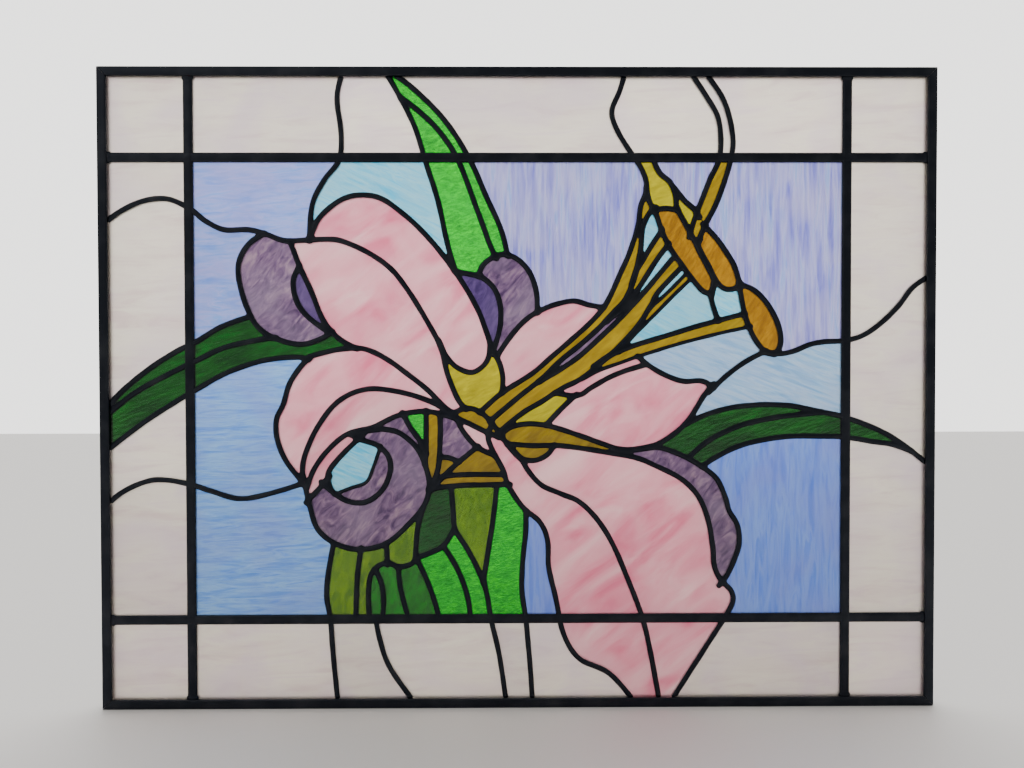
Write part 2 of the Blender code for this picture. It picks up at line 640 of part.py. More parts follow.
def make_came(collection, metal):
    """Four mitred lengths of U section round the outside, open towards the glass."""
    depth = CAME_DEPTH / 2
    profile = [(0.0, -depth), (0.0, depth), (CAME_FACE, depth), (CAME_FACE, CHANNEL_HALF_HEIGHT),
               (CAME_WEB, CHANNEL_HALF_HEIGHT), (CAME_WEB, -CHANNEL_HALF_HEIGHT),
               (CAME_FACE, -CHANNEL_HALF_HEIGHT), (CAME_FACE, -depth)]
    sides = (("came_bottom", PANEL_WIDTH, (0.0, 0.0), 0.0),
             ("came_right", PANEL_HEIGHT, (PANEL_WIDTH / 2, PANEL_HEIGHT / 2), math.pi / 2),
             ("came_top", PANEL_WIDTH, (0.0, PANEL_HEIGHT), math.pi),
             ("came_left", PANEL_HEIGHT, (-PANEL_WIDTH / 2, PANEL_HEIGHT / 2), -math.pi / 2))
    for name, length, (x, z), turn in sides:
        shape = bmesh.new()
        half = length / 2 - FIT_GAP / 2
        ends = []
        for side in (-1.0, 1.0):
            ends.append([shape.verts.new((side * (half - inward) * MM, y * MM, inward * MM))
                         for inward, y in profile])
        for index in range(len(profile)):
            following = (index + 1) % len(profile)
            shape.faces.new((ends[0][index], ends[0][following], ends[1][following], ends[1][index]))
        for end in ends:
            shape.faces.new(end)
        bmesh.ops.recalc_face_normals(shape, faces=shape.faces)
        mesh = bpy.data.meshes.new(name)
        shape.to_mesh(mesh)
        shape.free()
        side_object = bpy.data.objects.new(name, mesh)
        side_object.location = (x * MM, 0.0, z * MM)
        side_object.rotation_euler = (0.0, -turn, 0.0)
        mesh.materials.append(metal)
        collection.objects.link(side_object)


def main():
    """Build the window from its sizes and its cartoon."""
    for thing in list(bpy.data.objects):
        bpy.data.objects.remove(thing, do_unlink=True)
    collection = bpy.data.collections.new("stained_glass_window")
    bpy.context.scene.collection.children.link(collection)
    metal = material("black_patina", METAL_COLOUR, 0.45, 0.6)
    glasses = {name: material(name + "_glass", colour, 0.2, 0.0, 0.8)
               for name, colour in GLASS_COLOURS.items()}
    lines = seam_lines()
    make_came(collection, metal)
    drops = make_leadwork(collection, lines, metal)
    make_panes(collection, lines, drops, glasses)


if __name__ == "__main__":
    main()
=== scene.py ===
"""Looks of the stained glass window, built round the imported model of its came, leadwork and panes."""

import json
import math

import bmesh
import bpy
import numpy as np
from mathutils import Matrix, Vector, noise
from mathutils.bvhtree import BVHTree
from mathutils.geometry import tessellate_polygon


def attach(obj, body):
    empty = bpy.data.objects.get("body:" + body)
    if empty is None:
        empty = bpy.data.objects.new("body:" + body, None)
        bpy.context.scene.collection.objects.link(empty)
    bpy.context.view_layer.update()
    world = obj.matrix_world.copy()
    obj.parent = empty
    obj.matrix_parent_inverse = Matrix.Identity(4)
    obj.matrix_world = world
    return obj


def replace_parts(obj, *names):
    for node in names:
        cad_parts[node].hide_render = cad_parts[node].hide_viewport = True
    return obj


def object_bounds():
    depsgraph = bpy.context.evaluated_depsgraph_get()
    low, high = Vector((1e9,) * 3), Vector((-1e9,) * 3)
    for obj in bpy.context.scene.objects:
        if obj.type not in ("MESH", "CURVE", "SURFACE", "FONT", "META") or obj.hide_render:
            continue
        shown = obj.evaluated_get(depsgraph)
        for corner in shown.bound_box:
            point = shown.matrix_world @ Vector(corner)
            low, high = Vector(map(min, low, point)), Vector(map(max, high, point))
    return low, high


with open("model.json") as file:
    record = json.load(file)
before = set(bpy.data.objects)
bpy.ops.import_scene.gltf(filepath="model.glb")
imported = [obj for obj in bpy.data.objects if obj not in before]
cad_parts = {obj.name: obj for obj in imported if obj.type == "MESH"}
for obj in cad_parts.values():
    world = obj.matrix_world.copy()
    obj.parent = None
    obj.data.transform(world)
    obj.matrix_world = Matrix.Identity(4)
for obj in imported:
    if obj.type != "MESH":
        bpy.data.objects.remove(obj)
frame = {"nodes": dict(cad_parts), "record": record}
cad_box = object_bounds()

# Outer came
# Four lengths of U section lead, mitred and soldered at the corners, with the glass in the channel.
# The face is rubbed over by hand, so its edges are soft, and black patina covers all the metal.
MM = 0.001
PANEL_WIDTH = (cad_box[1][0] - cad_box[0][0]) / MM
PANEL_HEIGHT = (cad_box[1][2] - cad_box[0][2]) / MM
CAME_FACE = 6.7
CAME_HALF_DEPTH = 4.0
CAME_WALL = 2.0
CHANNEL_HALF_DEPTH = 2.1
EDGE_RADIUS = 0.9
MITRE_GAP = 0.15
CAME_STATION_GAP = 12.0  # between the rings that a side is swept through
DRESSED_WAVE = 0.08      # how far hand dressing moves the face
DRESSED_RATE = 0.05      # waves per millimetre, roughly
PATINA = (0.0060, 0.0085, 0.0150, 1.0)
WORN_PATINA = (0.022, 0.025, 0.032, 1.0)


def new_node(tree, kind, inputs=None, **settings):
    """A shader node. Each input is given by name or place, as a value or as the output that feeds it."""
    node = tree.nodes.new(kind)
    for name, value in settings.items():
        setattr(node, name, value)
    for name, value in (inputs or {}).items():
        if isinstance(value, bpy.types.NodeSocket):
            tree.links.new(value, node.inputs[name])
        else:
            node.inputs[name].default_value = value
    return node.outputs


def make_patina():
    """Black patina over solder: nearly black with a blue tint, a little paler and duller in blotches."""
    made = bpy.data.materials.new("black_patina_on_solder")
    made.use_nodes = True
    tree = made.node_tree
    link = tree.links.new
    shader = tree.nodes["Principled BSDF"].inputs
    shader["Metallic"].default_value = 0.55
    shader["Specular IOR Level"].default_value = 0.35
    place = new_node(tree, "ShaderNodeTexCoord")["Object"]
    blotches = new_node(tree, "ShaderNodeTexNoise", {"Scale": 60.0, "Detail": 4.0, "Vector": place})["Fac"]
    pits = new_node(tree, "ShaderNodeTexNoise", {"Scale": 900.0, "Detail": 3.0, "Vector": place})["Fac"]
    tint = tree.nodes.new("ShaderNodeValToRGB")
    tint.color_ramp.elements[0].position = 0.45
    tint.color_ramp.elements[0].color = PATINA
    tint.color_ramp.elements[1].position = 0.80
    tint.color_ramp.elements[1].color = WORN_PATINA
    link(blotches, tint.inputs["Fac"])
    link(tint.outputs["Color"], shader["Base Color"])
    gloss = new_node(tree, "ShaderNodeMapRange", {"To Min": 0.28, "To Max": 0.52, "Value": blotches})
    link(gloss["Result"], shader["Roughness"])
    bump = new_node(tree, "ShaderNodeBump", {"Strength": 0.25, "Distance": 0.0002, "Height": pits})
    link(bump["Normal"], shader["Normal"])
    return made


def rounded(corners, radius, steps=4):
    """An outline of (across, up) points with its marked corners rounded: corners are (x, y, round or not)."""
    outline = []
    for index, (x, y, is_round) in enumerate(corners):
        if not is_round:
            outline.append((x, y))
            continue
        here = Vector((x, y))
        before = Vector(corners[index - 1][:2]) - here
        after = Vector(corners[(index + 1) % len(corners)][:2]) - here
        centre = here + (before.normalized() + after.normalized()) * radius
        start = here + before.normalized() * radius - centre
        end = here + after.normalized() * radius - centre
        for step in range(steps + 1):
            share = step / steps
            spoke = start * math.cos(share * math.pi / 2) + end * math.sin(share * math.pi / 2)
            outline.append(tuple(centre + spoke))
    return outline


def swept_bar(name, outline, stations):
    """A closed bar through rings of one outline. A station turns an outline point into a place in mm."""
    points = []
    for station in stations:
        points += [Vector(station(x, y)) * MM for x, y in outline]
    count = len(outline)
    faces = [list(range(count))[::-1], list(range(len(points) - count, len(points)))]
    for ring in range(len(stations) - 1):
        for index in range(count):
            following = (index + 1) % count
            faces.append([ring * count + index, ring * count + following,
                          (ring + 1) * count + following, (ring + 1) * count + index])
    mesh = bpy.data.meshes.new(name)
    mesh.from_pydata(points, [], faces)
    return finished(name, mesh)


def facing_out(mesh):
    """Turn a closed mesh's faces to point outwards."""
    shape = bmesh.new()
    shape.from_mesh(mesh)
    bmesh.ops.recalc_face_normals(shape, faces=shape.faces)
    shape.to_mesh(mesh)
    shape.free()


def finished(name, mesh, sharpest=40.0):
    """A mesh as an object in the scene, smooth shaded but for its sharp edges."""
    facing_out(mesh)
    mesh.polygons.foreach_set("use_smooth", [True] * len(mesh.polygons))
    mesh.set_sharp_from_angle(angle=math.radians(sharpest))
    piece = bpy.data.objects.new(name, mesh)
    bpy.context.scene.collection.objects.link(piece)
    return piece


def blackened(piece):
    """A piece of metal with patina over it, fixed to the panel."""
    piece.data.materials.append(patina)
    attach(piece, "root")
    return piece


def came_side(name, length, corner, along, inward_axis):
    """One mitred side of the outer came, with the small waves that come from dressing it by hand."""
    outline = rounded([(0.0, -CAME_HALF_DEPTH, True), (0.0, CAME_HALF_DEPTH, True),
                       (CAME_FACE, CAME_HALF_DEPTH, True), (CAME_FACE, CHANNEL_HALF_DEPTH, False),
                       (CAME_WALL, CHANNEL_HALF_DEPTH, False), (CAME_WALL, -CHANNEL_HALF_DEPTH, False),
                       (CAME_FACE, -CHANNEL_HALF_DEPTH, False), (CAME_FACE, -CAME_HALF_DEPTH, True)],
                      EDGE_RADIUS)
    stations = []
    station_count = int(length / CAME_STATION_GAP)
    for index in range(station_count + 1):
        share = index / station_count

        def station(inward, depth, share=share):
            run = (inward + MITRE_GAP) * (1 - 2 * share) + length * share
            wave = noise.noise(Vector((run * DRESSED_RATE, length, inward_axis[0] * 7.0)))
            outer = (1 if depth > 0 else -1) * (abs(depth) > CHANNEL_HALF_DEPTH)
            dressed = depth - DRESSED_WAVE * wave * outer
            dressed = max(-CAME_HALF_DEPTH, min(CAME_HALF_DEPTH, dressed))
            x = corner[0] + along[0] * run + inward_axis[0] * inward
            z = corner[1] + along[1] * run + inward_axis[1] * inward
            return x, dressed, z
        stations.append(station)
    return blackened(swept_bar(name, outline, stations))


patina = make_patina()
half_width = PANEL_WIDTH / 2
came_sides = {
    "bottom": (PANEL_WIDTH, (-half_width, 0.0), (1, 0), (0, 1)),
    "right": (PANEL_HEIGHT, (half_width, 0.0), (0, 1), (-1, 0)),
    "top": (PANEL_WIDTH, (half_width, PANEL_HEIGHT), (-1, 0), (0, -1)),
    "left": (PANEL_HEIGHT, (-half_width, PANEL_HEIGHT), (0, -1), (1, 0)),
}
for side_name, side_place in came_sides.items():
    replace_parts(came_side(f"outer_came_{side_name}", *side_place), f"came_{side_name}")

# Seams
# Solder run over copper foil along every edge of the glass, in a low dome on both faces, and thicker
# where seams meet. They follow the cartoon, the drawing that all of the glass was cut to.
BORDER_WIDTH = 64.0      # outer edge to the middle of a border bar
SEAM_FACE = 3.9
SLIM_SEAM_FACE = 2.7
GLASS_HALF_DEPTH = 1.5
BEAD_RISE = 1.2
BEAD_HIGHEST = 1.29      # with its lumps
BEAD_LUMPS = 0.07        # share of its height
BEAD_SINK = 0.05         # of a bead's foot, below the face of the glass
BEAD_SHOULDER = 2.0      # how far in from its edge a bead reaches its full height
BEAD_SWELL = 0.10        # how far a bead's edge wanders along its way
SOLDER_SHARPEST = 60.0   # degrees between two faces that still shade as one
FAR_OFF = 1000.0         # millimetres, further than any metal
FILLET = 1.5             # how far apart two seams start to draw together
GRID_STEP = 1.05
ROUND_END = 0.42         # share of a seam's face that its round end reaches past its last point
CAME_LAP = 0.3           # of the seams, under the came's face
GLASS_LAP = 0.6          # of a piece's edge, under the solder
SMALLEST_GLASS = 4.5     # square millimetres

# The cartoon's points are (across, down) in the photograph's pixels, tied to the panel by its corners
PHOTO_TOP_LEFT = (95.5, 63.7)
PHOTO_TOP_RIGHT = (938.7, 68.9)
PHOTO_BOTTOM_LEFT = (101.5, 708.0)
PHOTO_BOTTOM_RIGHT = (933.4, 707.9)
DRAWN_BORDER_ACROSS = 0.1067   # share of the drawn width at the border bars
DRAWN_BORDER_UP = 0.1391       # share of the drawn height at the border bars
CARTOON = {
    # Lines that cross the border at the top
    "sky_top_left": [(341, 67), (335, 95), (339, 130), (337, 157), (322, 177), (310, 202), (307, 240)],
    "top_leaf_left": [(381, 66), (396, 91), (413, 125), (424, 160), (436, 198), (445, 239), (454, 270)],
    "top_leaf_rib": [(397, 94), (411, 104), (435, 126), (456, 157), (475, 206), (489, 244), (496, 258)],
    "top_leaf_right": [(386, 68), (411, 86), (442, 117), (467, 155), (485, 195), (499, 226), (507, 256)],
    "top_cloud_left": [(626, 66), (619, 90), (611, 110), (617, 130), (634, 157)],
    "style_left": [(687, 66), (706, 95), (719, 120), (720, 155), (710, 178), (702, 198), (694, 219),
        (688, 238)],
    "style_right": [(702, 66), (724, 100), (733, 135), (731, 158), (723, 185), (715, 205), (706, 222),
        (697, 242)],
    # Lines that cross the border at the right
    "sky_right": [(936, 273), (915, 287), (900, 306), (882, 323), (864, 335), (846, 340), (826, 341),
        (810, 344), (795, 350), (780, 353), (764, 351)],
    "right_leaf_top": [(936, 469), (905, 445), (880, 430), (846, 417), (820, 411), (790, 405), (760, 404),
        (730, 407), (705, 414), (684, 424)],
    "right_leaf_foot": [(915, 452), (895, 445), (870, 441), (846, 437), (820, 436), (790, 436), (760, 440),
        (735, 447), (715, 457), (700, 467)],
    "right_leaf_rib": [(825, 412), (800, 414), (770, 418), (740, 425), (715, 436), (700, 446), (687, 458)],
    # Lines that cross the border at the left
    "upper_petal_foot": [(97, 223), (117, 208), (141, 197), (165, 195), (188, 205), (203, 217), (222, 226),
        (245, 226), (262, 230), (281, 237), (300, 237), (323, 236), (340, 238), (365, 249), (389, 266),
        (407, 289), (423, 315), (438, 343), (446, 373), (456, 397), (466, 409)],
    "left_leaf_top": [(97, 410), (121, 386), (148, 364), (175, 347), (194, 338), (219, 323), (250, 312)],
    "left_leaf_rib": [(97, 416), (131, 390), (165, 371), (194, 357), (222, 344), (253, 337), (276, 334)],
    "left_leaf_foot": [(97, 451), (141, 419), (172, 399), (194, 386), (225, 369), (262, 357), (295, 354),
        (309, 357)],
    "sky_left": [(97, 506), (120, 489), (145, 478), (165, 477), (190, 482), (208, 488), (236, 496),
        (264, 492), (301, 481)],
    # Lines that cross the border at the bottom
    "stems_left": [(331, 542), (326, 570), (324, 595), (328, 620), (331, 660), (336, 708)],
    "border_stem": [(373, 618), (378, 642), (388, 669), (415, 708)],
    "stems_middle": [(481, 578), (486, 600), (489, 620), (497, 655), (505, 708)],
    "stems_right": [(524, 508), (524, 530), (521, 560), (520, 590), (524, 620), (528, 665), (531, 708)],
    "low_petal_left": [(491, 420), (486, 434), (491, 449), (501, 468), (507, 485), (521, 506), (538, 521),
        (546, 540), (547, 567), (554, 598), (562, 635), (578, 660), (608, 675), (637, 708)],
    "low_petal_rib": [(497, 432), (508, 445), (519, 457), (527, 470), (540, 484), (560, 493), (578, 501),
        (596, 519), (611, 543), (624, 573), (641, 618), (650, 657), (659, 708)],
    "low_petal_right": [(503, 442), (530, 444), (555, 444), (580, 447), (610, 452), (636, 457), (655, 465),
        (680, 478), (697, 495), (707, 518), (712, 545), (714, 567), (720, 580), (731, 592), (732, 604),
        (722, 622), (704, 650), (667, 708)],
    # Upper and left petals, with the buds behind them
    "upper_petal": [(307, 238), (315, 218), (327, 205), (343, 195), (361, 192), (380, 196), (400, 210),
        (420, 228), (440, 251), (460, 279), (475, 305), (483, 325), (488, 342), (485, 359), (471, 370),
        (455, 365), (444, 353), (436, 336)],
    "left_bud": [(264, 229), (248, 239), (238, 254), (236, 272), (243, 300), (256, 324), (278, 337),
        (301, 341), (320, 335), (332, 327)],
    "left_bud_fold": [(298, 260), (291, 277), (294, 297), (305, 313), (327, 330)],
    "wide_petal_top": [(287, 236), (297, 262), (309, 288), (321, 317), (336, 335), (357, 347)],
    "wide_petal_foot": [(305, 354), (320, 350), (340, 346), (362, 346), (384, 356), (406, 372), (426, 388),
        (444, 406), (455, 413)],
    "curled_petal_back": [(309, 353), (298, 364), (287, 381), (281, 401), (274, 417), (275, 437), (284, 459),
        (303, 483)],
    "curled_petal_middle": [(453, 413), (428, 399), (400, 390), (372, 386), (351, 390), (332, 402),
        (316, 423), (304, 448), (300, 467), (303, 483)],
    "curled_petal_front": [(460, 419), (440, 412), (420, 409), (396, 413), (370, 425), (346, 431),
        (327, 446), (312, 466), (304, 487)],
    "curl_throat": [(363, 430), (341, 451), (327, 468), (326, 479), (329, 489)],
    "curl_outside": [(302, 480), (307, 503), (315, 527), (333, 542), (357, 548), (384, 542), (408, 521),
        (423, 502), (427, 483), (423, 463), (414, 445), (398, 431), (383, 427), (370, 428), (356, 429)],
    "curl_inside": [(346, 431), (358, 437), (375, 443), (386, 454), (388, 469), (380, 488), (364, 500),
        (345, 499), (328, 488), (317, 478)],
    "curl_foot": [(329, 472), (316, 487), (302, 502)],
    "top_leaf_foot": [(451, 268), (465, 271), (481, 274)],
    "middle_bud_left": [(477, 272), (491, 284), (498, 300), (499, 320), (495, 338), (490, 352)],
    "middle_bud_right": [(476, 276), (481, 263), (491, 255), (503, 252), (516, 257), (528, 270), (535, 290),
        (536, 313)],
    "back_petal": [(495, 355), (504, 341), (514, 328), (525, 317), (536, 310), (552, 303), (572, 299),
        (588, 303), (605, 306)],
    # Heart of the flower
    "cup_right": [(488, 346), (497, 359), (501, 375), (500, 393)],
    "heart_green_left": [(399, 408), (408, 425), (418, 439), (425, 454)],
    "heart_amber_left": [(424, 406), (424, 442), (423, 465)],
    "heart_amber_right": [(438, 410), (438, 436), (436, 466), (428, 490)],
    "heart_violet_foot": [(454, 414), (461, 429), (475, 445), (495, 455)],
    "heart_tent_left": [(478, 443), (457, 460), (440, 476), (426, 491)],
    "heart_tent_foot": [(439, 475), (461, 473), (504, 473)],
    "heart_bed": [(424, 488), (456, 484), (511, 483)],
    "heart_cap": [(448, 412), (466, 406), (481, 412), (493, 425), (502, 437)],
    # Stamens and anthers
    "filament_1_top": [(633, 154), (643, 172), (646, 187), (640, 205), (637, 225), (629, 250), (618, 275),
        (605, 302), (590, 320), (570, 338), (550, 355), (530, 372), (500, 391), (476, 412)],
    "filament_1_foot": [(486, 421), (505, 405), (522, 391), (540, 377), (560, 358), (580, 342), (600, 324),
        (612, 311), (624, 298), (632, 281), (636, 266), (640, 248), (642, 227), (649, 211), (657, 204)],
    "filament_2_top": [(536, 381), (560, 367), (580, 353), (600, 335), (618, 318), (632, 303), (644, 290),
        (660, 271), (673, 256)],
    "filament_2_foot": [(496, 432), (508, 421), (524, 409), (540, 400), (560, 387), (580, 377), (600, 361),
        (620, 343), (638, 323), (650, 304), (658, 290), (681, 266)],
    "filament_3_top": [(663, 226), (651, 244), (642, 259), (635, 270), (630, 285)],
    "filament_3_foot": [(670, 240), (657, 257), (648, 271), (636, 289), (624, 304), (604, 321)],
    "filament_4_foot": [(617, 352), (623, 345), (634, 333), (654, 313), (672, 295), (692, 276)],
    "filament_5_top": [(590, 366), (607, 355), (630, 345), (660, 336), (700, 324), (747, 312)],
    "filament_5_foot": [(580, 378), (600, 368), (620, 361), (640, 354), (680, 342), (720, 332), (753, 325)],
    "anther_1_left": [(645, 184), (649, 200), (656, 214), (662, 231), (670, 247), (682, 264), (693, 279),
        (703, 290), (713, 293)],
    "anther_1_waist": [(651, 210), (664, 207), (680, 209)],
    "anther_1_right": [(651, 154), (659, 171), (670, 181), (675, 194), (677, 207), (685, 222), (694, 239),
        (704, 257), (711, 270), (714, 282), (711, 296)],
    "anther_2_stalk": [(673, 185), (684, 199), (694, 208), (701, 218)],
    "anther_2_left": [(701, 236), (698, 245), (705, 260), (713, 275), (722, 286), (732, 288), (744, 283)],
    "anther_2_right": [(701, 221), (708, 228), (718, 239), (727, 252), (735, 266), (741, 287)],
    "anther_3_left": [(739, 279), (742, 300), (747, 320), (755, 338), (766, 351), (777, 353)],
    "anther_3_right": [(737, 283), (751, 287), (764, 298), (775, 315), (781, 333), (780, 347), (773, 355)],
    "anther_drop": [(714, 281), (711, 295), (714, 308), (719, 322)],
    "sky_under_anther": [(768, 349), (745, 361), (726, 375), (707, 393)],
    # Right petal
    "right_petal_top": [(552, 391), (576, 394), (590, 386), (608, 376), (625, 369), (646, 363)],
    "right_petal_edge": [(635, 353), (648, 364), (665, 374), (683, 380), (702, 380), (715, 388)],
    "right_petal_foot": [(715, 381), (704, 394), (696, 407), (688, 419), (676, 431), (661, 441), (648, 446),
        (632, 449), (618, 448), (600, 442), (575, 433), (550, 425), (528, 422), (508, 426), (495, 437)],
    "right_petal_left": [(577, 391), (560, 407), (543, 425)],
    "sepal": [(507, 444), (518, 456), (533, 459), (546, 453), (554, 442)],
    "low_bud": [(613, 449), (626, 449), (645, 447), (660, 447), (680, 454), (700, 465), (716, 478),
        (725, 497), (729, 511), (737, 525), (739, 543), (734, 560), (726, 577), (717, 588)],
    # Stems and grass under the flower
    "stem_1": [(359, 544), (355, 575), (353, 622)],
    "stem_2": [(384, 540), (385, 566)],
    "stem_arch": [(367, 622), (366, 595), (368, 575), (376, 565), (386, 562), (397, 566), (409, 563),
        (415, 557), (430, 551), (442, 544), (453, 526)],
    "stem_3": [(421, 505), (415, 530), (413, 561)],
    "stem_4": [(449, 484), (451, 510), (453, 528), (464, 546), (474, 565), (483, 586)],
    "stem_5": [(495, 482), (492, 512), (487, 545), (481, 584)],
    "blade_2": [(396, 564), (398, 587), (407, 622)],
    "blade_3": [(413, 555), (424, 578), (432, 600), (438, 622)],
    "blade_4": [(440, 543), (453, 564), (462, 585), (467, 605), (468, 622)],
    # Fine seams between the slivers
    "filament_4_top": [(648, 308), (668, 290), (686, 272)],
    "heart_wedge_top": [(436, 455), (447, 456), (459, 461)],
    "heart_cap_foot": [(452, 415), (468, 422), (486, 431), (499, 436)],
    "blade_1": [(372, 566), (379, 583), (381, 600), (380, 622)],
    "curl_lip": [(379, 442), (371, 465), (364, 480), (348, 486), (330, 493)],
}
SLIM_SEAMS = ("filament_4_top", "filament_4_foot", "curl_lip", "filament_5_foot")


def stretched(share, drawn_border, size):
    """A drawn share of a side as millimetres, with the border and the field each in proportion."""
    return float(np.interp(share, (0.0, drawn_border, 1.0 - drawn_border, 1.0),
                           (0.0, BORDER_WIDTH, size - BORDER_WIDTH, size)))


def on_panel(point):
    """Where a cartoon point lies on the panel, in millimetres from its lower left corner."""
    x, y = point
    down = (y - PHOTO_TOP_LEFT[1]) / (PHOTO_BOTTOM_LEFT[1] - PHOTO_TOP_LEFT[1])
    left = PHOTO_TOP_LEFT[0] + (PHOTO_BOTTOM_LEFT[0] - PHOTO_TOP_LEFT[0]) * down
    right = PHOTO_TOP_RIGHT[0] + (PHOTO_BOTTOM_RIGHT[0] - PHOTO_TOP_RIGHT[0]) * down
    across = (x - left) / (right - left)
    top = PHOTO_TOP_LEFT[1] + (PHOTO_TOP_RIGHT[1] - PHOTO_TOP_LEFT[1]) * across
    bottom = PHOTO_BOTTOM_LEFT[1] + (PHOTO_BOTTOM_RIGHT[1] - PHOTO_BOTTOM_LEFT[1]) * across
    up = (bottom - y) / (bottom - top)
    return Vector((stretched(across, DRAWN_BORDER_ACROSS, PANEL_WIDTH),
                   stretched(up, DRAWN_BORDER_UP, PANEL_HEIGHT)))


def smooth_line(points, steps=6):
    """A curve through the points, as short straight runs."""
    ends = [2 * points[0] - points[1]] + points + [2 * points[-1] - points[-2]]
    fine = []
    for before, start, end, after in zip(ends, ends[1:], ends[2:], ends[3:]):
        for step in range(steps):
            t = step / steps
            fine.append(0.5 * (2 * start + (end - before) * t
                               + (2 * before - 5 * start + 4 * end - after) * t ** 2
                               + (3 * start - before - 3 * end + after) * t ** 3))
    fine.append(points[-1])
    return fine


def cut_back(line, length):
    """The line with a length taken off each end, which its round ends then give back."""
    for _ in range(2):
        line = line[::-1]
        left = length
        while len(line) > 2 and (line[1] - line[0]).length < left:
            left -= (line[1] - line[0]).length
            line = line[1:]
        run = line[1] - line[0]
        line = [line[0] + run * min(left / run.length, 0.9)] + line[1:]
    return line


def drawn_together(first, second, reach):
    """The lesser of two distances, with the corner between them filled like solder."""
    share = np.clip(0.5 + 0.5 * (second - first) / reach, 0.0, 1.0)
    return second * (1 - share) + first * share - reach * share * (1 - share)


def lay_line(metal, line, half_face, fillet):
    """Add one line of metal to the grid of distances from the metal's edge, negative inside it."""
    margin = half_face + 3 * fillet + 2 * GRID_STEP
    low = [max(0, int((min(point[axis] for point in line) - margin) / GRID_STEP)) for axis in (0, 1)]
    high = [int((max(point[axis] for point in line) + margin) / GRID_STEP) + 2 for axis in (0, 1)]
    window = (slice(low[1], high[1]), slice(low[0], high[0]))
    x, z = grid_x[window], grid_z[window]
    nearest = np.full(x.shape, FAR_OFF)
    for start, end in zip(line, line[1:]):
        run = end - start
        share = np.clip(((x - start.x) * run.x + (z - start.y) * run.y) / run.length_squared, 0.0, 1.0)
        nearest = np.minimum(nearest, np.hypot(x - start.x - run.x * share, z - start.y - run.y * share))
    metal[window] = drawn_together(metal[window], nearest - half_face, fillet)


def cells_of_metal(metal, level):
    """The grid's cells, cut where the distance passes a level, as (points, faces) of what lies under it."""
    rows, columns = metal.shape
    inside = metal < level
    touched = inside[:-1, :-1] | inside[:-1, 1:] | inside[1:, :-1] | inside[1:, 1:]
    points = []
    known = {}

    def corner(row, column):
        key = (row, column)
        if key not in known:
            known[key] = len(points)
            points.append((column * GRID_STEP, row * GRID_STEP))
        return known[key]

    def crossing(a, b):
        key = (a, b) if a < b else (b, a)
        if key not in known:
            (row, column), (next_row, next_column) = key
            value, next_value = metal[key[0]], metal[key[1]]
            share = min(max((level - value) / (next_value - value), 0.05), 0.95)
            known[key] = len(points)
            points.append(((column + (next_column - column) * share) * GRID_STEP,
                           (row + (next_row - row) * share) * GRID_STEP))
        return known[key]

    faces = []
    for row, column in zip(*np.nonzero(touched)):
        row, column = int(row), int(column)
        around = [(row, column), (row, column + 1), (row + 1, column + 1), (row + 1, column)]
        face = []
        for a, b in zip(around, around[1:] + around[:1]):
            if inside[a]:
                face.append(corner(*a))
            if inside[a] != inside[b]:
                face.append(crossing(a, b))
        faces.append(face)
    return points, faces


def edge_loops(faces):
    """The outlines of a flat mesh, each as its points in order."""
    following = {}
    known = {(a, b) for face in faces for a, b in zip(face, face[1:] + face[:1])}
    for a, b in sorted(known):
        if (b, a) not in known:
            following.setdefault(a, []).append(b)
    loops = []
    while following:
        start = next(iter(following))
        loop = [start]
        while True:
            here = following[loop[-1]].pop()
            if not following[loop[-1]]:
                del following[loop[-1]]
            if here == start:
                break
            loop.append(here)
        loops.append(loop)
    return loops


def area_within(outline):
    """The area within an outline, in square millimetres."""
    x, z = np.array(outline).T
    return abs(float(np.dot(x, np.roll(z, -1)) - np.dot(z, np.roll(x, -1)))) / 2


def fill_small_gaps(metal, level):
    """Fill the openings that are too small for glass with solder."""
    flat, faces = cells_of_metal(metal, level)
    for loop in edge_loops(faces):
        outline = [flat[index] for index in loop]
        if area_within(outline) < SMALLEST_GLASS:
            x, z = np.array(outline).T / GRID_STEP
            gap = (slice(int(z.min()), int(z.max()) + 2), slice(int(x.min()), int(x.max()) + 2))
            metal[gap] = np.minimum(metal[gap], -SEAM_FACE / 4)


columns = int(round(PANEL_WIDTH / GRID_STEP)) + 1
rows = int(round(PANEL_HEIGHT / GRID_STEP)) + 1
grid_x, grid_z = np.meshgrid(np.arange(columns) * GRID_STEP, np.arange(rows) * GRID_STEP)
from_edge = np.minimum(np.minimum(grid_x, PANEL_WIDTH - grid_x), np.minimum(grid_z, PANEL_HEIGHT - grid_z))
seams = np.full(grid_x.shape, FAR_OFF)
for seam_name, drawn_points in CARTOON.items():
    face = SLIM_SEAM_FACE if seam_name in SLIM_SEAMS else SEAM_FACE
    drawn_line = smooth_line([on_panel(point) for point in drawn_points])
    lay_line(seams, cut_back(drawn_line, ROUND_END * face), face / 2, FILLET)
# A hand-run bead swells and thins a little along its way
seams += BEAD_SWELL * np.sin(0.31 * grid_x + 2.0 * np.sin(0.11 * grid_z)) * np.sin(0.27 * grid_z + 1.3)
fill_small_gaps(seams, -GLASS_LAP)
seams_shown = np.maximum(seams, CAME_FACE - CAME_LAP - from_edge)


def bead_height(x, z, depth_in):
    """How far a bead stands off the glass, from how far in from its edge the point lies."""
    share = min(max(depth_in / BEAD_SHOULDER, 0.0), 1.0)
    lumps = 1.0 + BEAD_LUMPS * noise.noise(Vector((x * 0.16, z * 0.16, 0.0)))
    return min(BEAD_RISE * math.sqrt(share * (2.0 - share)) * lumps, BEAD_HIGHEST)


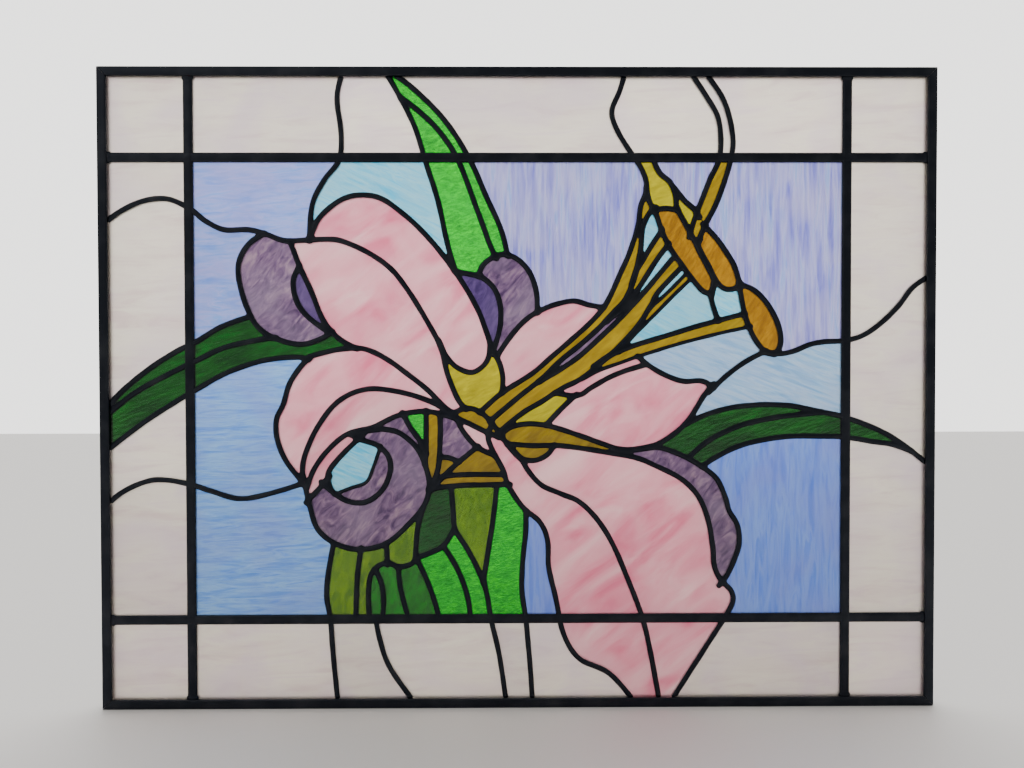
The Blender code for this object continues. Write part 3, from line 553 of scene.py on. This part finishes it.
def make_seams():
    """The net of seams as one closed mesh, domed on both faces."""
    flat, faces = cells_of_metal(seams_shown, 0.0)
    count = len(flat)
    points = []
    columns_of = np.array(flat)
    cell_x = np.clip((columns_of[:, 0] / GRID_STEP).astype(int), 0, columns - 2)
    cell_z = np.clip((columns_of[:, 1] / GRID_STEP).astype(int), 0, rows - 2)
    part_x = columns_of[:, 0] / GRID_STEP - cell_x
    part_z = columns_of[:, 1] / GRID_STEP - cell_z
    depth_in = -((seams_shown[cell_z, cell_x] * (1 - part_x) + seams_shown[cell_z, cell_x + 1] * part_x)
                 * (1 - part_z) + (seams_shown[cell_z + 1, cell_x] * (1 - part_x)
                                   + seams_shown[cell_z + 1, cell_x + 1] * part_x) * part_z)
    foot = GLASS_HALF_DEPTH - BEAD_SINK
    heights = [foot + bead_height(x, z, inward) for (x, z), inward in zip(flat, depth_in)]
    for side in (-1, 1):
        points += [((x - PANEL_WIDTH / 2) * MM, side * height * MM, z * MM)
                   for (x, z), height in zip(flat, heights)]
    walls = [[b, a, a + count, b + count] for loop in edge_loops(faces)
             for a, b in zip(loop, loop[1:] + loop[:1])]
    back = [[corner + count for corner in face[::-1]] for face in faces]
    mesh = bpy.data.meshes.new("solder_seams")
    mesh.from_pydata(points, [], faces + back + walls)
    return finished("solder_seams", mesh, SOLDER_SHARPEST)


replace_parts(blackened(make_seams()), "leadwork")

# Border bars
# Straight rounded lead came between the border and the picture, two each way, wider than the seams.
# The glass runs into its channels on both sides, and it is soldered where it crosses and at its ends.
BAR_FACE = 7.0
BAR_HALF_DEPTH = 2.8
BAR_EDGE_RADIUS = 1.7
BAR_STATION_GAP = 9.0    # between the rings that a bar is swept through
BAR_DENTS = 0.04         # share of its depth
BAR_WANDER = 0.02        # share of its width


def make_bar(name, start, end):
    """One length of the inner came between two points in mm, with small dents along its face."""
    along = (end - start).normalized()
    across = Vector((-along.y, along.x))
    half = BAR_FACE / 2
    outline = rounded([(-half, -BAR_HALF_DEPTH, True), (half, -BAR_HALF_DEPTH, True),
                       (half, BAR_HALF_DEPTH, True), (-half, BAR_HALF_DEPTH, True)], BAR_EDGE_RADIUS)
    station_count = int((end - start).length / BAR_STATION_GAP)
    stations = []
    for index in range(station_count + 1):
        middle = start.lerp(end, index / station_count)

        def station(aside, depth, middle=middle):
            dents = abs(noise.noise(Vector((middle.x * 0.06, middle.y * 0.06, aside * 0.2))))
            wander = noise.noise(Vector((middle.x, middle.y, 3.0)) * 0.05)
            place = middle + across * aside * (1 + BAR_WANDER * wander)
            return place.x - PANEL_WIDTH / 2, -depth * (1 - BAR_DENTS * dents), place.y
        stations.append(station)
    return blackened(swept_bar(name, outline, stations))


bar_ends = CAME_FACE - CAME_LAP
bar_lines = {
    "bar_left": (Vector((BORDER_WIDTH, bar_ends)), Vector((BORDER_WIDTH, PANEL_HEIGHT - bar_ends))),
    "bar_right": (Vector((PANEL_WIDTH - BORDER_WIDTH, bar_ends)),
                  Vector((PANEL_WIDTH - BORDER_WIDTH, PANEL_HEIGHT - bar_ends))),
    "bar_bottom": (Vector((bar_ends, BORDER_WIDTH)), Vector((PANEL_WIDTH - bar_ends, BORDER_WIDTH))),
    "bar_top": (Vector((bar_ends, PANEL_HEIGHT - BORDER_WIDTH)),
                Vector((PANEL_WIDTH - bar_ends, PANEL_HEIGHT - BORDER_WIDTH))),
}
for bar_name, (bar_start, bar_end) in bar_lines.items():
    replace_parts(make_bar(bar_name, bar_start, bar_end), "leadwork")

# Solder joints
# Flat blobs of solder where bars cross and where they meet the outer came. Each was touched with the
# iron and left a little uneven, then blackened with the rest.
JOINT_STAND = 0.35       # over the metal it lies on
JOINT_FOOT = 1.0         # how deep in the metal its edge lies, from the middle of the panel
CROSSING_RADII = (5.2, 5.0)
BAR_END_REACH = 4.6      # across a bar at its end
BAR_END_RUN = 3.4        # along it
BAR_END_INSET = 0.6      # of the blob's middle, from the outer came's face
JOINT_UNEVEN = 0.10      # share of its reach


def solder_blob(name, place, radii, under, top):
    """A low uneven dome of solder on each face at a place in mm, from one depth up to another."""
    rings = 6
    spokes = 20
    points = []
    faces = []
    for side in (-1, 1):
        first = len(points)
        points.append((place.x, side * top, place.y))
        for ring in range(1, rings + 1):
            share = ring / rings
            for spoke in range(spokes):
                angle = spoke * math.tau / spokes
                uneven = noise.noise(Vector((math.cos(angle), math.sin(angle), place.x)))
                reach = share * (1 + JOINT_UNEVEN * uneven)
                height = under + (top - under) * math.sqrt(max(0.0, 1 - share ** 2))
                points.append((place.x + radii[0] * reach * math.cos(angle), side * height,
                               place.y + radii[1] * reach * math.sin(angle)))
        for spoke in range(spokes):
            following = (spoke + 1) % spokes
            faces.append([first, first + 1 + spoke, first + 1 + following][::side])
            for ring in range(rings - 1):
                low = first + 1 + ring * spokes
                high = low + spokes
                faces.append([low + spoke, high + spoke, high + following, low + following][::side])
    outer = 1 + (rings - 1) * spokes
    back = 1 + rings * spokes
    for spoke in range(spokes):
        following = (spoke + 1) % spokes
        faces.append([outer + spoke, back + outer + spoke, back + outer + following, outer + following])
    mesh = bpy.data.meshes.new(name)
    mesh.from_pydata([((x - PANEL_WIDTH / 2) * MM, y * MM, z * MM) for x, y, z in points], [], faces)
    return blackened(finished(name, mesh, SOLDER_SHARPEST))


bar_places_x = (BORDER_WIDTH, PANEL_WIDTH - BORDER_WIDTH)
bar_places_z = (BORDER_WIDTH, PANEL_HEIGHT - BORDER_WIDTH)
joint_top = BAR_HALF_DEPTH + JOINT_STAND
joints = []
for x in bar_places_x:
    joints += [("crossing", x, z, CROSSING_RADII) for z in bar_places_z]
    joints += [("bar_end", x, z, (BAR_END_REACH, BAR_END_RUN))
               for z in (CAME_FACE + BAR_END_INSET, PANEL_HEIGHT - CAME_FACE - BAR_END_INSET)]
for z in bar_places_z:
    joints += [("bar_end", x, z, (BAR_END_RUN, BAR_END_REACH))
               for x in (CAME_FACE + BAR_END_INSET, PANEL_WIDTH - CAME_FACE - BAR_END_INSET)]
for number, (joint_kind, x, z, radii) in enumerate(joints, 1):
    solder_blob(f"solder_at_{joint_kind}_{number}", Vector((x, z)), radii, JOINT_FOOT, joint_top)

# Glass
# About a hundred pieces cut to the cartoon from sheets of coloured glass, most of it opalescent with
# streaks drawn out as it was rolled. Each is a slab of its own, and its edge lies in the foil or came.
CAME_CHANNEL_INSET = 2.3
BAR_FILLET = 0.4         # where a seam meets a bar
LONGEST_STRAIGHT = 6.0   # of a slab's edge

all_metal = seams.copy()
for bar_start, bar_end in bar_lines.values():
    run = (bar_end - bar_start).normalized() * 2 * CAME_FACE
    lay_line(all_metal, [bar_start - run, bar_end + run], BAR_FACE / 2, BAR_FILLET)
all_metal = np.minimum(all_metal, from_edge - CAME_CHANNEL_INSET - GLASS_LAP)
glass_points, glass_cells = cells_of_metal(all_metal, -GLASS_LAP)
metal_outlines = [[glass_points[index] for index in loop] for loop in edge_loops(glass_cells)]

# The largest outline is the panel's own edge, and each of the others is an opening for one piece
openings = sorted(metal_outlines, key=area_within)[:-1]


def lies_within(spot, outline):
    """Whether a spot lies within an outline."""
    x, z = np.array(outline).T
    next_x, next_z = np.roll(x, -1), np.roll(z, -1)
    spans = (z > spot.y) != (next_z > spot.y)
    cuts = x[spans] + (spot.y - z[spans]) / (next_z[spans] - z[spans]) * (next_x[spans] - x[spans])
    return int(np.count_nonzero(cuts > spot.x)) % 2 == 1


pane_nodes = {}
for row in frame["record"]["subparts"]:
    if row["material_slot"] != "black_patina":
        pane = frame["nodes"][row["node"]].data
        corners_of_pane = [vertex.co.copy() for vertex in pane.vertices]
        pane_nodes[row["node"]] = BVHTree.FromPolygons(corners_of_pane,
                                                       [list(face.vertices) for face in pane.polygons])


def pane_behind(spot):
    """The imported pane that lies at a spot."""
    start = Vector(((spot.x - PANEL_WIDTH / 2) * MM, -0.1, spot.y * MM))
    for node, tree in pane_nodes.items():
        if tree.ray_cast(start, Vector((0.0, 1.0, 0.0)))[0] is not None:
            return node
    return None


def slab(name, outline):
    """A flat slab of glass with one outline."""
    count = len(outline)
    flat = [Vector((x, z, 0.0)) for x, z in outline]
    front = [list(face) for face in tessellate_polygon([flat])]
    points = [((x - PANEL_WIDTH / 2) * MM, depth * MM, z * MM)
              for depth in (-GLASS_HALF_DEPTH, GLASS_HALF_DEPTH) for x, z in outline]
    back = [[corner + count for corner in face[::-1]] for face in front]
    walls = [[a, (a + 1) % count, (a + 1) % count + count, a + count] for a in range(count)]
    mesh = bpy.data.meshes.new(name)
    mesh.from_pydata(points, [], front + back + walls)
    facing_out(mesh)
    return mesh


def thinned(outline, tolerance=0.06):
    """An outline without the points that lie on a straight run."""
    kept = list(outline)
    index = 1
    while index < len(kept) - 1:
        a, b, c = (Vector(kept[index + step]) for step in (-1, 0, 1))
        span = c - a
        if span.length < LONGEST_STRAIGHT and abs(span.cross(b - a)) / max(span.length, 0.001) < tolerance:
            del kept[index]
        index += 1
    return kept


def cut_glass(sheet_name, sheet, spots):
    """Cut the pieces of one kind of glass, each found by a cartoon point that lies in it."""
    for number, drawn_spot in enumerate(spots, 1):
        spot = on_panel(drawn_spot)
        outline = next(outline for outline in openings if lies_within(spot, outline))
        name = f"{sheet_name}_{number}"
        piece = bpy.data.objects.new(name, slab(name, thinned(outline)))
        bpy.context.scene.collection.objects.link(piece)
        piece.data.materials.append(sheet)
        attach(piece, "root")
        node = pane_behind(spot)
        if node:
            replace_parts(piece, node)


def make_figure_group():
    """The figure in rolled glass: long streaks, broad clouds and a fine grain, each from 0 to 1."""
    group = bpy.data.node_groups.new("rolled_glass_figure", "ShaderNodeTree")
    interface = group.interface
    for name, value in (("Slant", 0.0), ("Streak Width", 0.006), ("Streak Length", 8.0), ("Wander", 0.6)):
        socket = interface.new_socket(name, in_out="INPUT", socket_type="NodeSocketFloat")
        socket.default_value = value
    for name in ("Streaks", "Clouds", "Grain", "Piece"):
        interface.new_socket(name, in_out="OUTPUT", socket_type="NodeSocketFloat")
    given = new_node(group, "NodeGroupInput")
    place = new_node(group, "ShaderNodeTexCoord")["Object"]
    piece = new_node(group, "ShaderNodeObjectInfo")["Random"]
    shift = new_node(group, "ShaderNodeMath", {0: piece, 1: 3.0}, operation="MULTIPLY")["Value"]
    moved = new_node(group, "ShaderNodeVectorMath", {0: place, 1: shift}, operation="ADD")["Vector"]
    turned = new_node(group, "ShaderNodeVectorRotate", {"Vector": moved, "Angle": given["Slant"]},
                      rotation_type="Y_AXIS")["Vector"]
    finer = new_node(group, "ShaderNodeMath", {0: 1.0, 1: given["Streak Width"]}, operation="DIVIDE")["Value"]
    along = new_node(group, "ShaderNodeMath", {0: finer, 1: given["Streak Length"]},
                     operation="DIVIDE")["Value"]
    scales = new_node(group, "ShaderNodeCombineXYZ", {"X": along, "Y": finer, "Z": finer})["Vector"]
    scaled = new_node(group, "ShaderNodeVectorMath", {0: turned, 1: scales}, operation="MULTIPLY")["Vector"]
    streaks = new_node(group, "ShaderNodeTexNoise", {"Scale": 1.0, "Detail": 5.0, "Roughness": 0.55,
                                                     "Vector": scaled, "Distortion": given["Wander"]})
    clouds = new_node(group, "ShaderNodeTexNoise", {"Scale": 22.0, "Detail": 2.0, "Distortion": 0.8,
                                                    "Vector": moved})
    grain = new_node(group, "ShaderNodeTexNoise", {"Scale": 3.0, "Detail": 3.0, "Vector": scaled})
    new_node(group, "NodeGroupOutput", {"Streaks": streaks["Fac"], "Clouds": clouds["Fac"],
                                        "Grain": grain["Fac"], "Piece": piece})
    return group


glass_figure = make_figure_group()
FIRST_STREAK = 0.34      # of the streaks' noise, where the first colour lies
STREAK_SPAN = 0.32       # from the first colour to the last


def seen(red, green, blue):
    """A colour given as it is seen on a screen, 0 to 255, in the linear values that shaders take."""
    return tuple(((value / 255 + 0.055) / 1.055) ** 2.4 if value > 10 else value / 255 / 12.92
                 for value in (red, green, blue)) + (1.0,)


def rolled_glass(name, colours, slant, streak_width, streak_length, wander, clearness, roughness,
                 ripple, cloud_colour, cloud_share, richness=1.12):
    """A sheet of streaky rolled glass. Its colours run across the streaks, in the order given."""
    made = bpy.data.materials.new(name)
    made.use_nodes = True
    tree = made.node_tree
    link = tree.links.new
    shader = tree.nodes["Principled BSDF"].inputs
    shader["Metallic"].default_value = 0.0
    shader["Transmission Weight"].default_value = clearness
    shader["Roughness"].default_value = roughness
    shader["IOR"].default_value = 1.5
    figure = tree.nodes.new("ShaderNodeGroup")
    figure.node_tree = glass_figure
    figure.inputs["Slant"].default_value = math.radians(slant)
    figure.inputs["Streak Width"].default_value = streak_width * MM
    figure.inputs["Streak Length"].default_value = streak_length
    figure.inputs["Wander"].default_value = wander
    ramp = tree.nodes.new("ShaderNodeValToRGB")
    stops = ramp.color_ramp.elements
    for index, colour in enumerate(colours):
        position = FIRST_STREAK + STREAK_SPAN * index / max(1, len(colours) - 1)
        if index < 2:
            stops[index].position = position
        else:
            stops.new(position)
        stops[index].color = seen(*colour)
    link(figure.outputs["Streaks"], ramp.inputs["Fac"])
    share = new_node(tree, "ShaderNodeMapRange", {"From Min": 0.42, "From Max": 0.68, "To Max": cloud_share,
                                                  "Value": figure.outputs["Clouds"]})
    # Of a Mix node's sockets, 6 and 7 are the two colours that go in and 2 is the one that comes out
    clouded = new_node(tree, "ShaderNodeMix", {"Factor": share["Result"], 6: ramp.outputs["Color"],
                                               7: seen(*cloud_colour)}, data_type="RGBA")[2]
    lightness = new_node(tree, "ShaderNodeMapRange", {"To Min": 0.93, "To Max": 1.06,
                                                      "Value": figure.outputs["Piece"]})
    shade = new_node(tree, "ShaderNodeHueSaturation", {"Saturation": richness, "Value": lightness["Result"],
                                                       "Color": clouded})
    link(shade["Color"], shader["Base Color"])
    bump = new_node(tree, "ShaderNodeBump", {"Strength": 0.6, "Distance": ripple,
                                             "Height": figure.outputs["Grain"]})
    link(bump["Normal"], shader["Normal"])
    return made


# White border glass
# Warm white opalescent sheet with faint pink, lilac and straw streaks lying across it.
cut_glass("border_glass", rolled_glass(
    "warm_white_opal", [(222, 206, 202), (234, 224, 214), (240, 233, 220), (232, 220, 216)],
    2, 9.0, 6.0, 1.0, 0.85, 0.6, 0.0002, (220, 202, 216), 0.5),
    [(131, 99), (890, 103), (161, 674), (900, 674), (239, 106), (382, 120), (485, 97), (655, 123), (714, 99),
    (809, 123), (873, 263), (893, 399), (901, 566), (147, 171), (126, 325), (139, 444), (135, 578),
    (241, 668), (347, 644), (419, 637), (517, 650), (589, 691), (750, 671)])

# Sky glass
# Blue streaky opalescent sheets: lilac with upright streaks over the flower, clearer blue with level
# streaks at the left, slanting ones at the right, and pale cyan in the small gaps.
cut_glass("sky_lilac", rolled_glass(
    "lilac_streaky", [(122, 124, 212), (158, 160, 228), (198, 198, 240), (142, 176, 236)],
    90, 3.2, 14.0, 0.5, 0.75, 0.5, 0.0003, (206, 200, 228), 0.4),
    [(545, 198), (780, 208), (696, 184)])
cut_glass("sky_lavender", rolled_glass(
    "lavender_streaky", [(122, 158, 232), (148, 174, 236), (182, 186, 240), (136, 178, 240)],
    4, 5.0, 5.0, 1.0, 0.75, 0.5, 0.0003, (176, 170, 224), 0.5),
    [(235, 181), (212, 278)])
cut_glass("sky_blue", rolled_glass(
    "blue_streaky", [(108, 152, 230), (134, 176, 238), (164, 202, 244), (124, 168, 240)],
    2, 3.2, 9.0, 0.8, 0.78, 0.45, 0.0003, (150, 160, 226), 0.4),
    [(220, 437), (250, 571)])
cut_glass("sky_right", rolled_glass(
    "violet_blue_streaky", [(108, 140, 232), (132, 160, 240), (152, 180, 244), (124, 154, 240)],
    90, 5.0, 8.0, 0.8, 0.78, 0.45, 0.0003, (150, 156, 226), 0.4),
    [(808, 538), (541, 580)])
cut_glass("sky_pale_slant", rolled_glass(
    "pale_blue_streaky", [(122, 170, 214), (152, 192, 226), (188, 208, 232), (138, 184, 226)],
    -20, 3.0, 10.0, 0.8, 0.78, 0.45, 0.0003, (174, 186, 222), 0.4),
    [(701, 355), (768, 390)])
cut_glass("sky_cyan", rolled_glass(
    "pale_cyan_wispy", [(92, 186, 224), (124, 200, 230), (166, 216, 230), (112, 194, 232)],
    -25, 4.0, 7.0, 1.0, 0.78, 0.45, 0.0003, (160, 204, 220), 0.4),
    [(418, 196), (351, 464), (684, 317), (732, 305), (649, 242), (656, 271), (677, 279)])

# Petal glass
# Rose streaky opalescent sheet, deeper pink in drawn-out wisps and nearly white between them.
cut_glass("petal", rolled_glass(
    "rose_streaky", [(226, 132, 156), (234, 158, 174), (240, 182, 192), (244, 206, 208)],
    38, 17.0, 3.4, 1.0, 0.80, 0.55, 0.0002, (240, 188, 196), 0.7),
    [(425, 287), (398, 319), (339, 367), (382, 408), (342, 447), (477, 437), (571, 327), (603, 373),
    (616, 403), (600, 581), (654, 569), (635, 664), (681, 645)])

# Bud and curl glass
# Purple wispy glass, mottled from dark plum to mauve.
cut_glass("bud", rolled_glass(
    "mauve_wispy", [(56, 34, 72), (94, 68, 104), (124, 96, 128), (160, 132, 150)],
    50, 8.0, 2.5, 2.2, 0.75, 0.45, 0.0002, (146, 128, 152), 0.4, 1.0),
    [(261, 293), (521, 290), (400, 510), (380, 477), (406, 429), (452, 437), (722, 547), (595, 336)])
cut_glass("dark_bud", rolled_glass(
    "plum_wispy", [(44, 26, 76), (66, 46, 98), (92, 70, 122)],
    60, 6.0, 2.5, 2.0, 0.8, 0.4, 0.0002, (106, 88, 124), 0.3, 1.0),
    [(305, 296), (472, 290)])

# Stamen, sepal and heart glass
# Yellow and amber cathedral glass, more see-through than the opalescent sheets, and brown gold
# for the anthers.
cut_glass("yellow", rolled_glass(
    "yellow_cathedral", [(128, 118, 0), (152, 142, 0), (174, 164, 0)],
    30, 5.0, 3.0, 1.0, 0.9, 0.3, 0.0004, (140, 132, 0), 0.4, 1.4),
    [(481, 392), (546, 409), (690, 219), (659, 191)])
cut_glass("amber", rolled_glass(
    "amber_cathedral", [(106, 84, 0), (128, 104, 0), (150, 126, 0)],
    40, 5.0, 4.0, 1.0, 0.9, 0.3, 0.0004, (134, 110, 0), 0.4, 1.4),
    [(431, 428), (480, 423), (443, 465), (482, 468), (463, 478), (540, 435), (533, 452), (622, 283),
    (656, 250), (579, 362), (705, 333), (712, 198), (676, 289), (491, 429)])
cut_glass("anther", rolled_glass(
    "brown_gold_cathedral", [(112, 74, 0), (142, 98, 0), (170, 124, 4)],
    60, 4.0, 4.0, 1.2, 0.88, 0.3, 0.0006, (128, 86, 0), 0.4, 1.4),
    [(700, 262), (718, 264), (762, 313)])

# Leaf and stem glass
# Green cathedral glass: dark and plain in the leaves, bright and rippled where it stands tall, and
# olive in two of the stems.
cut_glass("dark_leaf", rolled_glass(
    "dark_green_cathedral", [(0, 40, 6), (0, 58, 10), (4, 80, 16)],
    20, 6.0, 4.0, 1.0, 0.9, 0.25, 0.0006, (14, 80, 26), 0.3, 1.4),
    [(148, 377), (129, 418), (228, 333), (211, 371), (712, 426), (785, 428), (858, 432), (442, 509)])
cut_glass("bright_leaf", rolled_glass(
    "bright_green_ripple", [(4, 116, 20), (14, 156, 30), (44, 200, 44)],
    14, 3.0, 2.5, 1.4, 0.95, 0.12, 0.0016, (30, 160, 50), 0.4, 1.4),
    [(410, 94), (419, 123), (463, 211), (477, 194), (510, 557), (440, 589), (461, 557), (417, 423)])
cut_glass("deep_stem", rolled_glass(
    "deep_green_ripple", [(0, 70, 8), (6, 100, 14), (24, 136, 28)],
    80, 4.0, 3.0, 1.2, 0.92, 0.18, 0.0010, (20, 110, 30), 0.4, 1.4),
    [(374, 594), (395, 591), (418, 599)])
cut_glass("olive_stem", rolled_glass(
    "olive_ripple", [(52, 92, 0), (80, 118, 4), (110, 144, 16)],
    80, 5.0, 3.0, 1.2, 0.9, 0.25, 0.0008, (90, 124, 20), 0.4, 1.4),
    [(346, 588), (362, 581), (410, 536), (479, 532)])

# Floor, light and camera
# A plain pale floor under a soft bright sky of even light, brighter behind the panel so that its
# glass glows, and one soft lamp in front that finds the rounded tops of the seams.
FLOOR_SIDES = 2.5        # metres, to each side and behind
FLOOR_FRONT = -1.5
FLOOR_COLOUR = (0.72, 0.70, 0.68, 1.0)
floor_mesh = bpy.data.meshes.new("floor")
floor_mesh.from_pydata([(-FLOOR_SIDES, FLOOR_FRONT, 0), (FLOOR_SIDES, FLOOR_FRONT, 0),
                        (FLOOR_SIDES, FLOOR_SIDES, 0), (-FLOOR_SIDES, FLOOR_SIDES, 0)], [], [[0, 1, 2, 3]])
floor = bpy.data.objects.new("floor", floor_mesh)
bpy.context.scene.collection.objects.link(floor)
pale = bpy.data.materials.new("pale_floor")
pale.use_nodes = True
pale.node_tree.nodes["Principled BSDF"].inputs["Base Color"].default_value = FLOOR_COLOUR
pale.node_tree.nodes["Principled BSDF"].inputs["Roughness"].default_value = 0.6
floor_mesh.materials.append(pale)

FRONT_LIGHT = 0.40
BACK_LIGHT = 2.4
world = bpy.data.worlds.new("even_sky")
world.use_nodes = True
bpy.context.scene.world = world
background = world.node_tree.nodes["Background"]
background.inputs["Color"].default_value = (1.0, 0.99, 0.97, 1.0)
direction = new_node(world.node_tree, "ShaderNodeTexCoord")
split = new_node(world.node_tree, "ShaderNodeSeparateXYZ", {"Vector": direction["Generated"]})
brightness = new_node(world.node_tree, "ShaderNodeMapRange",
                      {"From Min": -0.7, "From Max": 0.7, "To Min": FRONT_LIGHT, "To Max": BACK_LIGHT,
                       "Value": split["Y"]}, interpolation_type="SMOOTHSTEP")
world.node_tree.links.new(brightness["Result"], background.inputs["Strength"])

LAMP_PLACE = (-1.1, -1.5, 1.4)
LAMP_AIM = (0.0, 0.0, 0.25)
lamp_data = bpy.data.lights.new("soft_lamp", "AREA")
lamp_data.size = 1.2
lamp_data.energy = 5.0
lamp = bpy.data.objects.new("soft_lamp", lamp_data)
lamp.location = LAMP_PLACE
lamp.rotation_euler = (Vector(LAMP_AIM) - Vector(LAMP_PLACE)).to_track_quat("-Z", "Y").to_euler()
bpy.context.scene.collection.objects.link(lamp)

# The camera stands where the panel's four corners fall on the photograph's
CAMERA_PLACE = (-0.0091, -0.5541, 0.2426)
CAMERA_YAW = 0.425       # degrees, towards +X
CAMERA_PITCH = -0.923
CAMERA_ROLL = 0.101
camera_data = bpy.data.cameras.new("camera")
camera_data.lens = 27.0
camera_data.sensor_width = 36.0
camera_data.clip_start = 0.01
camera = bpy.data.objects.new("camera", camera_data)
camera.location = CAMERA_PLACE
yaw, pitch = math.radians(CAMERA_YAW), math.radians(CAMERA_PITCH)
ahead = Vector((math.sin(yaw) * math.cos(pitch), math.cos(yaw) * math.cos(pitch), math.sin(pitch)))
camera.rotation_euler = ahead.to_track_quat("-Z", "Y").to_euler()
camera.rotation_euler.rotate_axis("Z", -math.radians(CAMERA_ROLL))
bpy.context.scene.collection.objects.link(camera)
bpy.context.scene.camera = camera

bpy.context.view_layer.update()
